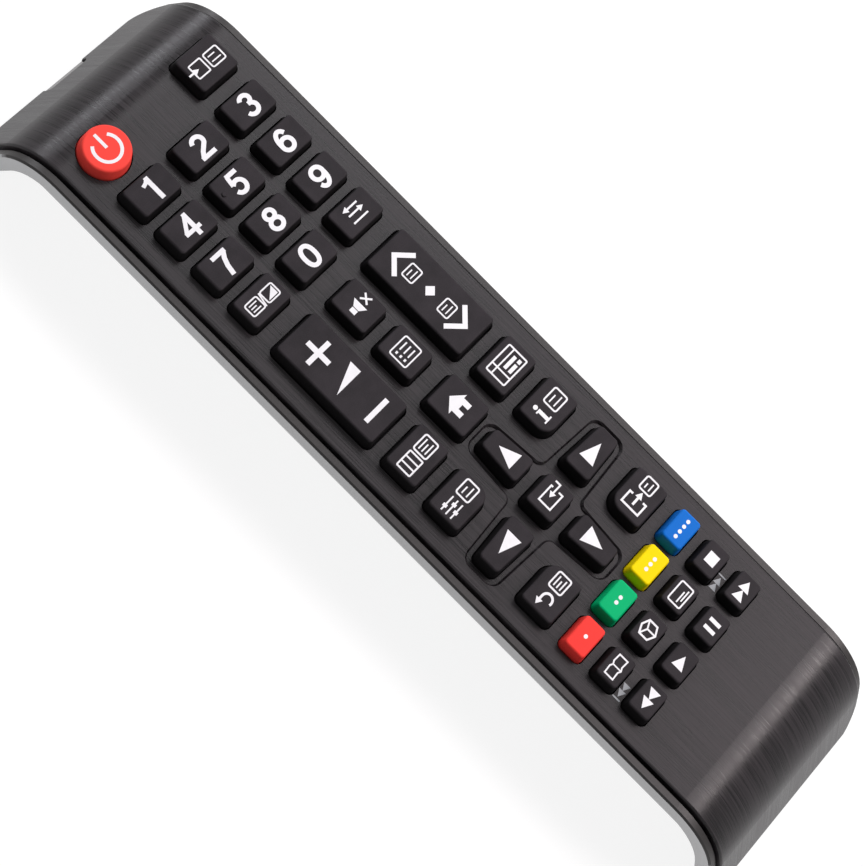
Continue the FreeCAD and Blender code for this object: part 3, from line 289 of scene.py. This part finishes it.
def leaded(node, axis, reach):
    """Moulded epoxy between tinned ends, which start reach millimetres from the middle."""
    middle = middle_of(node)["XYZ".index(axis)] * MM
    edge = 0.03
    shader = Shader(f"{node}_epoxy")
    far = shader.maths("ABSOLUTE", shader.minus(shader.along(axis), middle))
    lead = shader.rise(far, reach * MM, (reach + edge) * MM)
    fine = shader.grain((0.14,) * 3, detail=3.0)
    epoxy = shader.mix(shader.rise(fine), (0.012, 0.012, 0.013), (0.023, 0.023, 0.025))
    colour = shader.mix(lead, epoxy, (0.62, 0.62, 0.60))
    return shader.finish(colour, shader.level(fine, 0.42, 0.58), shader.bump(fine, 0.012),
                         metal=lead)


def can_sleeve():
    """A capacitor's blue-black shrink sleeve with one pale stripe."""
    shader = Shader("can_sleeve")
    side = shader.minus(shader.along("X"), middle_of("capacitor").x * MM)
    stripe = shader.rise(side, 1.7 * MM, 1.75 * MM)
    fine = shader.grain((0.5, 2.0, 0.5))
    sleeve = shader.mix(shader.rise(fine), (0.012, 0.016, 0.045), (0.02, 0.028, 0.07))
    colour = shader.mix(stripe, sleeve, (0.45, 0.47, 0.52))
    return shader.finish(colour, shader.level(fine, 0.20, 0.32), shader.bump(fine, 0.01))


def ceramic():
    return moulded("ceramic", (0.44, 0.17, 0.03), (0.60, 0.27, 0.06), roughness=(0.35, 0.5),
                   grain=0.35, depth=0.03)


def key_rubber():
    """Near-black silicone with fine clouding in its colour on top, and sides painted nearly black
    as painted shade.
    """
    shader = Shader("key_rubber")
    fine = shader.grain((0.11,) * 3, detail=3.0)
    clouding = shader.clouding(fine, 4.0)
    clouded_rubber = shader.mix(shader.rise(clouding, *CLOUD_SPAN), (0.0140, 0.0118, 0.0138),
                       (0.0305, 0.0262, 0.0298))
    # Painted shade: faces that turn away from up get a nearly black colour in place of the
    # rubber's own clouded colour.
    top = shader.rise(shader.facing("Z"), 0.2, 0.85)
    colour = shader.mix(top, (0.0035, 0.0030, 0.0034), clouded_rubber)
    return shader.finish(colour, shader.level(clouding, 0.50, 0.64), shader.bump(fine, 0.012),
                         Specular_IOR_Level=0.10)


def coloured_key(name, colour):
    """Through-coloured silicone with a soft gloss."""
    return moulded(name, dimmed(colour, 0.92), colour, roughness=(0.40, 0.50), grain=0.14,
                   depth=0.006, cloud=3.5, Specular_IOR_Level=0.06)


def ink(name, shade):
    """Screen-printed ink with slightly uneven cover."""
    return moulded(name, dimmed(shade, 0.90), shade, roughness=(0.42, 0.55), grain=0.07,
                   depth=0.004, cloud=1.2)


KEY_COLOURS = {
    "key_power": (0.96, 0.072, 0.056),
    "key_red": (0.95, 0.055, 0.045),
    "key_green": (0.0, 0.46, 0.165),
    "key_yellow": (0.95, 0.72, 0.0),
    "key_blue": (0.006, 0.155, 0.60),
}


def dress_frame():
    """Gives every CAD node its material; a key without a colour of its own is black."""
    silicone = key_rubber()
    metal = contact()
    given = {
        "top_cover": brushed_cover(),
        "bottom_cover": case_gloss(),
        "battery_cover": cover_gloss(),
        "ir_window": window(),
        "circuit_board": board(),
        "keypad_mat": keypad_sheet(),
        "battery_left": cell_wrap("cell_left", "battery_left", True),
        "battery_right": cell_wrap("cell_right", "battery_right", False),
        "positive_contact": metal,
        "negative_contact": metal,
        "bridge_contact": metal,
        "ir_led": led_lens(),
        "controller_chip": leaded("controller_chip", "X", reach=3.78),
        "capacitor": can_sleeve(),
        "resonator": ceramic(),
        "transistor": leaded("transistor", "Y", reach=1.15),
        "resistors": leaded("resistors", "Y", reach=0.7),
    }
    for name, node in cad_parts.items():
        colour = KEY_COLOURS.get(name)
        material = coloured_key(name, colour) if colour else given.get(name, silicone)
        node.data.materials.clear()
        node.data.materials.append(material)


# Drawing kit: a drawing is a list of shapes, each a filled outline or a stroke
THIN_STROKE = 0.28
STROKE = 0.36
MITRE_LIMIT = 0.4


def area(*points):
    return {"points": points, "width": None, "closed": True}


def line(*points, width=STROKE, closed=False):
    return {"points": points, "width": width, "closed": closed}


def arc(x, y, across, along, start, end, step=12.0):
    """Points round an oval from start to end, in degrees."""
    count = max(2, math.ceil(abs(end - start) / step))
    turns = [math.radians(start + (end - start) * i / count) for i in range(count + 1)]
    return [(x + across * math.cos(turn), y + along * math.sin(turn)) for turn in turns]


def oval(x, y, across, along, full=1.0, step=12.0):
    """Points of a closed oval, squarer as full goes below 1."""
    points = []
    for turn in (math.radians(step * i) for i in range(round(360 / step))):
        cosine, sine = math.cos(turn), math.sin(turn)
        points.append((x + across * math.copysign(abs(cosine) ** full, cosine),
                       y + along * math.copysign(abs(sine) ** full, sine)))
    return points


def bar(x, y, width, height):
    """A filled upright rectangle round its centre."""
    return area((x - width / 2, y - height / 2), (x + width / 2, y - height / 2),
                (x + width / 2, y + height / 2), (x - width / 2, y + height / 2))


def frame_box(x, y, width, height, corner=0.35, stroke=THIN_STROKE):
    """The outline of a rectangle with rounded corners."""
    across, along = width / 2 - corner, height / 2 - corner
    points = []
    for side, up, start in ((1, 1, 0), (-1, 1, 90), (-1, -1, 180), (1, -1, 270)):
        points += arc(x + side * across, y + up * along, corner, corner, start, start + 90, 30)
    return line(*points, width=stroke, closed=True)


def triangle(x, y, base, height, heading):
    """A filled triangle round the middle of its height, pointing to heading, in degrees."""
    turn = Matrix.Rotation(math.radians(heading), 2)
    corners = ((height / 2, 0.0), (-height / 2, base / 2), (-height / 2, -base / 2))
    return area(*(tuple(turn @ Vector(corner) + Vector((x, y))) for corner in corners))


def moved(shapes, across=0.0, along=0.0, turn=0.0, scale=1.0):
    """A copy of the shapes, scaled, turned in degrees and moved."""
    spin = Matrix.Rotation(math.radians(turn), 2)
    placed = []
    for shape in shapes:
        points = [tuple(spin @ Vector(point) * scale + Vector((across, along)))
                  for point in shape["points"]]
        width = shape["width"] and shape["width"] * scale
        placed.append({"points": points, "width": width, "closed": shape["closed"]})
    return placed


def stroke_edges(points, width, closed):
    """The two sides of a stroke, mitred where it turns."""
    count = len(points)
    sides = []
    for i, point in enumerate(points):
        here = Vector(point)
        ways = []
        if closed or i:
            ways.append((here - Vector(points[i - 1])).normalized())
        if closed or i < count - 1:
            ways.append((Vector(points[(i + 1) % count]) - here).normalized())
        middle = sum(ways, Vector((0, 0))).normalized()
        across = Vector((-middle.y, middle.x))
        reach = width / 2 / max(MITRE_LIMIT, middle.dot(ways[0]))
        sides.append((here + across * reach, here - across * reach))
    return sides


# Prints: each starts just inside its face, and each shape ends a little above the one before
PRINT_SUNK = 0.01
PRINT_PROUD = 0.02
PRINT_STEP = 0.0015


def add_loop(mesh, outline, low, high, settle):
    """A closed slab under a filled outline."""
    bottom = [mesh.verts.new(settle(x, y, low)) for x, y in outline]
    top = [mesh.verts.new(settle(x, y, high)) for x, y in outline]
    mesh.faces.new(top)
    mesh.faces.new(bottom[::-1])
    for i in range(len(top)):
        mesh.faces.new((bottom[i - 1], bottom[i], top[i], top[i - 1]))


def add_stroke(mesh, shape, low, high, settle):
    """A closed slab along a stroke."""
    sections = []
    for left, right in stroke_edges(shape["points"], shape["width"], shape["closed"]):
        corners = ((left, low), (right, low), (right, high), (left, high))
        sections.append([mesh.verts.new(settle(*spot, height)) for spot, height in corners])
    pairs = list(zip(sections, sections[1:]))
    if shape["closed"]:
        pairs.append((sections[-1], sections[0]))
    else:
        mesh.faces.new(sections[0])
        mesh.faces.new(sections[-1][::-1])
    for first, second in pairs:
        for i in range(4):
            mesh.faces.new((first[i - 1], first[i], second[i], second[i - 1]))


def add_object(mesh, name, material):
    """An object made of a finished mesh, which is used up."""
    data = bpy.data.meshes.new(name)
    mesh.to_mesh(data)
    mesh.free()
    data.materials.append(material)
    made = bpy.data.objects.new(name, data)
    bpy.context.scene.collection.objects.link(made)
    return made


def print_piece(name, shapes, settle, material, body):
    """One mesh of thin printed shapes that rides on a body; settle places a point and height."""
    mesh = bmesh.new()
    for i, shape in enumerate(shapes):
        high = PRINT_PROUD + PRINT_STEP * i
        if shape["width"] is None:
            add_loop(mesh, shape["points"], -PRINT_SUNK, high, settle)
        else:
            add_stroke(mesh, shape, -PRINT_SUNK, high, settle)
    bmesh.ops.recalc_face_normals(mesh, faces=mesh.faces)
    piece = add_object(mesh, name, material)
    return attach(piece, body)


# Digits, drawn to the height and stroke of those on the keys
DIGIT_STROKE = 0.83
DIGIT_HALF = 2.375
TOP_LINE = DIGIT_HALF - DIGIT_STROKE / 2
SIDE_LINE = 1.11


def digit(number):
    """The shapes of one digit round its middle."""
    def stroke(*points, closed=False, width=DIGIT_STROKE):
        return line(*points, width=width, closed=closed)

    if number == 0:
        return [stroke(*oval(0, 0, SIDE_LINE, TOP_LINE, 0.86), closed=True)]
    if number == 1:
        return [bar(0.45, 0, DIGIT_STROKE, 2 * DIGIT_HALF),
                stroke((0.45, 2.02), (-0.12, 1.50), (-0.95, 1.22), width=0.70)]
    if number == 2:
        return [stroke(*arc(0.02, 0.90, 1.06, 1.06, 172, -38), (-0.42, -0.92), (-1.02, -1.78)),
                bar(0.02, -TOP_LINE, 3.0, DIGIT_STROKE)]
    if number == 3:
        return [stroke(*arc(-0.02, 1.06, 0.95, 0.90, 165, -92)),
                stroke(*arc(-0.02, -0.88, 1.10, 1.08, 92, -165))]
    if number == 4:
        return [bar(0.62, 0, DIGIT_STROKE, 2 * DIGIT_HALF), bar(0.05, -0.98, 3.3, 0.78),
                stroke((0.62, 2.0), (-1.28, -0.86), width=0.72)]
    if number == 5:
        return [bar(0.16, TOP_LINE, 2.3, DIGIT_STROKE),
                stroke((-0.72, TOP_LINE), (-0.98, -0.02), width=0.76),
                stroke((-0.98, -0.02), *arc(-0.04, -0.72, 1.12, 1.24, 118, -158))]
    if number in (6, 9):
        six = [stroke(*oval(0, -0.78, SIDE_LINE, 1.18, 0.96), closed=True),
               stroke(*arc(0.02, 0, SIDE_LINE + 0.02, TOP_LINE, 36, 180), (-SIDE_LINE, -0.78))]
        return six if number == 6 else moved(six, turn=180)
    if number == 7:
        return [bar(0, TOP_LINE, 3.0, DIGIT_STROKE),
                stroke((1.12, 1.85), (0.42, 0.80), (-0.06, -0.55), (-0.34, -DIGIT_HALF))]
    return [stroke(*oval(0, 1.06, 0.92, 0.90), closed=True),
            stroke(*oval(0, -0.90, SIDE_LINE, 1.06), closed=True)]


# Pictograms, drawn narrow: LEGEND_SPREAD widens them when they are printed
LEGEND_SPREAD = 1.10
LARGE_SCALE = 1.12
PAD_SCALE = 0.92
SKIP_SCALE = 0.68
ROCKER_STROKE = 0.96

# Arrowheads, each as its base and its height
PAD_ARROW = (3.3, 4.1)
PLAY_ARROW = (2.5, 2.5)
WIND_ARROW = (2.35, 1.95)


def page(x, y, rows=3, width=2.7, height=2.5):
    """A small screen with lines of writing, every second one short."""
    shapes = [frame_box(x, y, width, height)]
    for i in range(rows):
        up = y + (i - (rows - 1) / 2) * (height - 0.7) / max(rows, 2)
        short = 0.5 if i % 2 else 0.0
        shapes.append(bar(x - short / 2, up, width - 1.0 - short, 0.24))
    return shapes


def cut_page(x, y):
    """A screen split by a slash, half of it filled."""
    return [frame_box(x, y, 2.7, 2.5),
            area((x - 1.0, y - 0.9), (x + 1.0, y - 0.9), (x + 1.0, y + 0.9))]


def arrow(start, end, head=1.1, stroke=STROKE):
    """A straight arrow."""
    way = Vector(end) - Vector(start)
    heading = math.degrees(math.atan2(way.y, way.x))
    neck = Vector(end) - way.normalized() * head
    middle = Vector(end) - way.normalized() * head / 2
    return [line(start, tuple(neck), width=stroke), triangle(*middle, head * 1.15, head, heading)]


def hook_arrow(x, y, radius=1.0):
    """An arrow that turns back to the left."""
    return [line((x - 0.7, y + radius), *arc(x, y, radius, radius, 90, -110), width=0.4),
            triangle(x - 1.1, y + radius, 1.3, 1.0, 180)]


def power_mark():
    """An upright bar in a ring that is open at its top and stays round when it is spread."""
    radius = 2.6
    ring = arc(0, 0, radius / LEGEND_SPREAD, radius, 134, 406, 9)
    return [line(*ring, width=0.60), bar(0, 1.65, 0.58, 3.1)]


def source_mark():
    """An arrow into a box, and a page."""
    return (arrow((-4.1, 0.0), (-1.9, 0.0), 1.0) + [frame_box(-1.75, 0, 2.6, 2.9, 0.2)]
            + page(1.75, 0, 2, 3.0, 2.9))


def text_mark():
    """A page, a slash and a cut page."""
    slash = line((-0.25, -1.3), (0.25, 1.3), width=THIN_STROKE)
    return page(-1.75, 0) + [slash] + cut_page(1.75, 0)


def previous_mark():
    """Two arrows past each other over a line."""
    return (arrow((1.5, 1.45), (-1.9, 1.45), 1.1) + arrow((-1.5, 0.25), (1.9, 0.25), 1.1)
            + [bar(0, -1.25, 3.4, 0.34)])


def mute_mark():
    """A loudspeaker beside a cross."""
    return [bar(-1.45, 0, 0.9, 1.3),
            area((-0.85, 0.65), (-0.85, -0.65), (0.35, -1.55), (0.35, 1.55)),
            line((0.95, 0.85), (2.35, -0.85)),
            line((0.95, -0.85), (2.35, 0.85))]


def list_mark():
    """Three bulleted lines in a frame."""
    shapes = [frame_box(0, 0, 4.2, 3.9)]
    for up in (1.0, 0.0, -1.0):
        shapes += [bar(-1.2, up, 0.5, 0.42), bar(0.42, up, 1.8, 0.30)]
    return shapes


def home_mark():
    """A house with a door."""
    return [area((-2.3, 0.15), (2.3, 0.15), (0, 2.2)),
            area((-1.55, 0.2), (-1.55, -1.8), (-0.5, -1.8), (-0.5, -0.5), (0.5, -0.5),
                 (0.5, -1.8), (1.55, -1.8), (1.55, 0.2))]


def menu_mark():
    """Three columns in a frame, and a page."""
    columns = [frame_box(-1.8, 0, 3.0, 2.7, 0.15)]
    columns += [bar(-1.8 + side * 0.5, 0, 0.26, 2.5) for side in (-1, 1)]
    return columns + page(1.75, 0, 3, 3.0, 2.7)


def guide_mark():
    """A timetable with a heading, a side column and three entries."""
    ruled = [frame_box(0, 0, 5.4, 3.9, 0.2), bar(0, 0.85, 5.2, 0.26), bar(-1.3, 0, 0.26, 3.7)]
    return ruled + [bar(0.65, -0.10, 2.6, 0.62), bar(0.2, -1.12, 1.7, 0.62),
                    bar(1.75, -1.12, 0.7, 0.62)]


def tools_mark():
    """Three sliders, and a page."""
    sliders = []
    for up, knob in ((1.0, -0.5), (0.0, 0.5), (-1.0, -0.2)):
        sliders += [bar(-1.8, up, 2.8, 0.26), bar(-1.8 + knob, up, 0.55, 0.75)]
    return sliders + page(1.75, 0, 2, 2.8, 2.6)


def info_mark():
    """A dotted stem on a foot, and a page."""
    return [area(*oval(-1.75, 1.42, 0.40, 0.40)), bar(-1.72, -0.35, 0.62, 2.3),
            bar(-2.0, 0.68, 0.7, 0.28), bar(-1.75, -1.40, 1.5, 0.28)] + page(1.45, 0, 2, 3.0, 2.7)


def return_mark():
    return hook_arrow(-1.5, -0.15, 0.95) + page(1.75, 0, 3, 2.8, 2.6)


def exit_mark():
    """An arrow out of an open box to a page."""
    return ([line((-0.35, 1.1), (-0.35, 1.75), (-2.4, 1.75), (-2.4, -1.75), (-0.35, -1.75),
                  (-0.35, -1.1), width=0.34)]
            + arrow((-1.7, 0.0), (0.85, 0.0), 1.15, 0.42) + page(2.3, 0, 2, 2.4, 2.4))


def enter_mark():
    """A bent arrow into an open box."""
    return [line((1.78, -0.50), (1.78, -1.48), (-1.78, -1.48), (-1.78, 1.48), (1.78, 1.48),
                 (1.78, 1.05)),
            line((3.0, 1.48), (3.0, 0.25), (0.85, 0.25)),
            triangle(0.42, 0.25, 1.5, 1.15, 180)]


def manual_mark():
    """An open book."""
    return [line((0, -1.05), (-0.55, -0.75), (-2.0, -0.85), (-2.0, 1.05), (-0.55, 1.15),
                 (0, 0.85), (0.55, 1.15), (2.0, 1.05), (2.0, -0.85), (0.55, -0.75),
                 width=THIN_STROKE, closed=True),
            line((0, -1.0), (0, 0.85), width=0.24)]


def depth_mark():
    """A cube seen over one edge."""
    return [line((0, 1.75), (1.45, 1.1), (1.45, -0.75), (0, -1.5), (-1.45, -0.75), (-1.45, 1.1),
                 width=0.34, closed=True),
            line((-1.45, 1.1), (0, 0.4), (1.45, 1.1), width=0.30),
            line((0, 0.4), (0, -1.5), width=0.30)]


def subtitle_mark():
    """Two lines low in a frame."""
    return [frame_box(0, 0, 4.1, 2.8, 0.3, 0.30), bar(-0.35, -0.22, 2.3, 0.28),
            bar(0.25, -0.78, 2.3, 0.28)]


def stop_mark():
    return [bar(0, 0, 2.2, 2.2)]


def pause_mark():
    return [bar(side * 0.82, 0, 0.72, 2.45) for side in (-1, 1)]


def double_mark(heading):
    """Two triangles in a row, both pointing to heading."""
    side = math.cos(math.radians(heading))
    return [triangle(side * 0.95, 0, *WIND_ARROW, heading),
            triangle(side * -0.95, 0, *WIND_ARROW, heading)]


def skip_mark(heading):
    """A small double mark that runs into a bar."""
    side = math.cos(math.radians(heading))
    return (moved(double_mark(heading), side * -0.35, scale=SKIP_SCALE)
            + [bar(side * 1.35, 0, 0.26, 1.7)])


def volume_mark():
    """A plus, a rising wedge and a minus."""
    up, down, reach = 5.85, -8.15, 5.3
    return [bar(-0.06, up, reach, ROCKER_STROKE), bar(-0.06, up, ROCKER_STROKE, reach),
            area((-2.9, -1.5), (2.9, -1.5), (2.9, 1.0)), bar(0.05, down, reach, ROCKER_STROKE)]


def channel_mark():
    """A page under a hook at each end, and a diamond between them."""
    up = [line((-2.85, 6.35), (-0.15, 9.05), (2.55, 6.35), width=0.92)]
    down = [line((-2.85, -5.9), (-0.15, -8.6), (2.55, -5.9), width=0.92)]
    middle = [area((-1.3, 0.15), (-0.1, -1.0), (1.1, 0.15), (-0.1, 1.3))]
    return up + down + middle + page(-0.2, 4.55, 2, 2.9, 2.5) + page(-0.16, -4.15, 2, 2.9, 2.5)


def dots_mark(count):
    """A row of dots."""
    pitch, radius = 1.15, 0.38
    return [area(*oval((i - (count - 1) / 2) * pitch, 0, radius, radius, step=15))
            for i in range(count)]


LEGENDS = {
    "key_power": power_mark(),
    "key_source": source_mark(),
    "key_text": text_mark(),
    "key_previous": previous_mark(),
    "key_volume": volume_mark(),
    "key_channel": channel_mark(),
    "key_mute": mute_mark(),
    "key_channel_list": list_mark(),
    "key_menu": moved(menu_mark(), scale=LARGE_SCALE),
    "key_guide": moved(guide_mark(), scale=LARGE_SCALE),
    "key_home": home_mark(),
    "key_tools": moved(tools_mark(), scale=LARGE_SCALE),
    "key_info": moved(info_mark(), scale=LARGE_SCALE),
    "key_return": moved(return_mark(), scale=LARGE_SCALE),
    "key_exit": moved(exit_mark(), scale=LARGE_SCALE),
    "key_enter": moved(enter_mark(), scale=PAD_SCALE),
    "key_up": [triangle(0, 0, *PAD_ARROW, 90)],
    "key_down": [triangle(0, 0, *PAD_ARROW, -90)],
    "key_left": [triangle(0, 0, *PAD_ARROW, 180)],
    "key_right": [triangle(0, 0, *PAD_ARROW, 0)],
    "key_manual": manual_mark(),
    "key_depth": depth_mark(),
    "key_subtitle": subtitle_mark(),
    "key_stop": stop_mark(),
    "key_rewind": double_mark(180),
    "key_play": [triangle(0.1, 0, *PLAY_ARROW, 0)],
    "key_pause": pause_mark(),
    "key_forward": double_mark(0),
    "key_red": dots_mark(1),
    "key_green": dots_mark(2),
    "key_yellow": dots_mark(3),
    "key_blue": dots_mark(4),
}
LEGENDS.update({f"key_{number}": digit(number) for number in range(10)})


# Printing
KEY_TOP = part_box("key_1")[1].z / MM
DECK_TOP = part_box("top_cover")[1].z / MM
SKIP_MARK_LIFT = 0.1
SIGN_REACH = 1.2
SIGN_STROKE = 0.6
SIGN_PLACE = 17.0


def level_face(across, along, top):
    """Places a print on a level face, spread sideways round its middle."""
    def settle(x, y, height):
        return Vector((across + LEGEND_SPREAD * x, along + y, top + height)) * MM

    return settle


def cell_underside(across, along, up, radius):
    """Places a print on the underside of a cell, bent round it."""
    def settle(x, y, height):
        turn = x / radius
        return Vector((across + (radius + height) * math.sin(turn), along + y,
                       up - (radius + height) * math.cos(turn))) * MM

    return settle


def print_keys():
    """Prints each key's legend on its top."""
    white = ink("white_ink", (0.84, 0.84, 0.86))
    for name, shapes in LEGENDS.items():
        middle = middle_of(name)
        settle = level_face(middle.x, middle.y, KEY_TOP)
        print_piece(f"print_{name}", shapes, settle, white, name)


def print_deck():
    """The grey skip marks on the cover, beside the keys that they belong to."""
    grey = ink("grey_ink", (0.30, 0.32, 0.34))
    along = (middle_of("key_manual").y + middle_of("key_rewind").y) / 2 + SKIP_MARK_LIFT
    for name, key, aside, heading in (("print_skip_back", "key_rewind", -1.55, 180),
                                      ("print_skip_forward", "key_forward", -1.1, 0)):
        settle = level_face(middle_of(key).x + aside, along, DECK_TOP)
        print_piece(name, skip_mark(heading), settle, grey, "case")


def print_cells():
    """A plus and a minus on the underside of each cell's wrap."""
    pale = ink("cell_ink", (0.62, 0.64, 0.64))
    steps = [SIGN_REACH * (i / 4 - 1) for i in range(9)]
    level_bar = [line(*((step, 0.0) for step in steps), width=SIGN_STROKE)]
    upright = [line(*((0.0, step) for step in steps), width=SIGN_STROKE)]
    for name, way in (("battery_left", 1), ("battery_right", -1)):
        low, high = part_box(name)
        middle = middle_of(name)
        radius = (high.z - low.z) / 2 / MM
        for sign, shapes, side in (("plus", level_bar + upright, 1), ("minus", level_bar, -1)):
            along = middle.y + side * way * SIGN_PLACE
            settle = cell_underside(middle.x, along, middle.z, radius)
            print_piece(f"print_{name}_{sign}", shapes, settle, pale, "case")


# Stage
FLOOR_HALF = 1500.0
FLOOR_DROP = 0.05
FLOOR_GLOW = 0.86
SOFT_STRENGTH = 0.24


def seen_rays(shader):
    """1 for the rays that show the background: straight, mirrored or through glass."""
    path = shader.tree.nodes.new("ShaderNodeLightPath").outputs
    mirrored = shader.maths("MAXIMUM", path["Is Glossy Ray"], path["Is Transmission Ray"])
    return shader.maths("MAXIMUM", path["Is Camera Ray"], mirrored)


def make_floor():
    """A pale floor that shows white and keeps the object's shadow."""
    shader = Shader("floor")
    mottle = shader.grain((40.0,) * 3)
    plain = shader.node("ShaderNodeBsdfDiffuse",
                        {"Color": shader.mix(mottle, (0.72,) * 3, (0.78,) * 3)})
    shaded = shader.node("ShaderNodeBsdfDiffuse", {"Color": (0.20, 0.20, 0.20, 1.0)})
    glow = shader.node("ShaderNodeEmission", {"Color": (1, 1, 1, 1), "Strength": FLOOR_GLOW})
    shown = shader.node("ShaderNodeAddShader", {0: shaded, 1: glow})
    surface = shader.node("ShaderNodeMixShader", {0: seen_rays(shader), 1: plain, 2: shown})
    shader.node("ShaderNodeOutputMaterial", {"Surface": surface})
    mesh = bmesh.new()
    half, drop = FLOOR_HALF * MM, -FLOOR_DROP * MM
    mesh.faces.new([mesh.verts.new((x * half, y * half, drop))
                    for x, y in ((-1, -1), (1, -1), (1, 1), (-1, 1))])
    floor = add_object(mesh, "floor", shader.owner)


def make_world():
    """Plain soft surroundings, white wherever the background shows."""
    shader = Shader("studio", bpy.data.worlds)
    soft = shader.node("ShaderNodeBackground", {"Color": (0.96, 0.98, 1.0, 1),
                                                "Strength": SOFT_STRENGTH})
    white = shader.node("ShaderNodeBackground", {"Color": (1, 1, 1, 1), "Strength": 1.0})
    surface = shader.node("ShaderNodeMixShader", {0: seen_rays(shader), 1: soft, 2: white})
    shader.node("ShaderNodeOutputWorld", {"Surface": surface})
    bpy.context.scene.world = shader.owner


# Light
LAMP_DISTANCE = 600.0


def make_lamp(name, azimuth, elevation, size, radiance, colour):
    """A soft box that faces the object; azimuth is from +X towards +Y, in degrees."""
    turn, lift = math.radians(azimuth), math.radians(elevation)
    way = Vector((math.cos(turn) * math.cos(lift), math.sin(turn) * math.cos(lift),
                  math.sin(lift)))
    data = bpy.data.lights.new(name, "AREA")
    data.shape = "RECTANGLE"
    data.size, data.size_y = size[0] * MM, size[1] * MM
    data.energy = radiance * math.pi * data.size * data.size_y
    data.color = colour
    lamp = bpy.data.objects.new(name, data)
    lamp.location = way * LAMP_DISTANCE * MM
    lamp.rotation_mode = "QUATERNION"
    lamp.rotation_quaternion = way.to_track_quat("Z", "Y")
    lamp.visible_camera = False
    bpy.context.scene.collection.objects.link(lamp)


def light_object():
    """Lamps near the directions that the cover's deck and bends mirror to the camera."""
    make_lamp("key_light", azimuth=20, elevation=51, size=(400, 190), radiance=7.1,
              colour=(0.99, 0.975, 1.0))
    make_lamp("head_light", azimuth=61, elevation=23, size=(210, 120), radiance=12.0,
              colour=(0.95, 0.95, 1.0))
    make_lamp("tail_light", azimuth=-38, elevation=57, size=(300, 140), radiance=5.6,
              colour=(1.0, 0.92, 0.95))
    make_lamp("tail_strip", azimuth=-48, elevation=46, size=(210, 85), radiance=27.0,
              colour=(1.0, 0.90, 0.90))


# Camera: its place in millimetres, and its right, down and ahead in the object's frame
PICTURE_HEIGHT = 866
FOCAL_PIXELS = 2519.6
NEAREST_SEEN = 5.0
CAMERA_PLACE = Vector((-198.63, 8.77, 410.37))
CAMERA_RIGHT = Vector((0.63055, -0.70521, 0.32416))
CAMERA_DOWN = Vector((-0.63889, -0.70876, -0.29915))
CAMERA_AHEAD = Vector((0.44072, -0.01847, -0.89746))


def make_camera():
    """The camera of the picture, whose height is its longer side."""
    data = bpy.data.cameras.new("camera")
    data.lens = FOCAL_PIXELS * data.sensor_width / PICTURE_HEIGHT
    data.clip_start = NEAREST_SEEN * MM
    camera = bpy.data.objects.new("camera", data)
    turn = Matrix((CAMERA_RIGHT, -CAMERA_DOWN, -CAMERA_AHEAD)).transposed()
    camera.matrix_world = Matrix.Translation(CAMERA_PLACE * MM) @ turn.to_4x4()
    bpy.context.scene.collection.objects.link(camera)
    bpy.context.scene.camera = camera


dress_frame()
print_keys()
print_deck()
print_cells()
make_floor()
make_world()
light_object()
make_camera()
bpy.context.scene.view_settings.view_transform = "Standard"
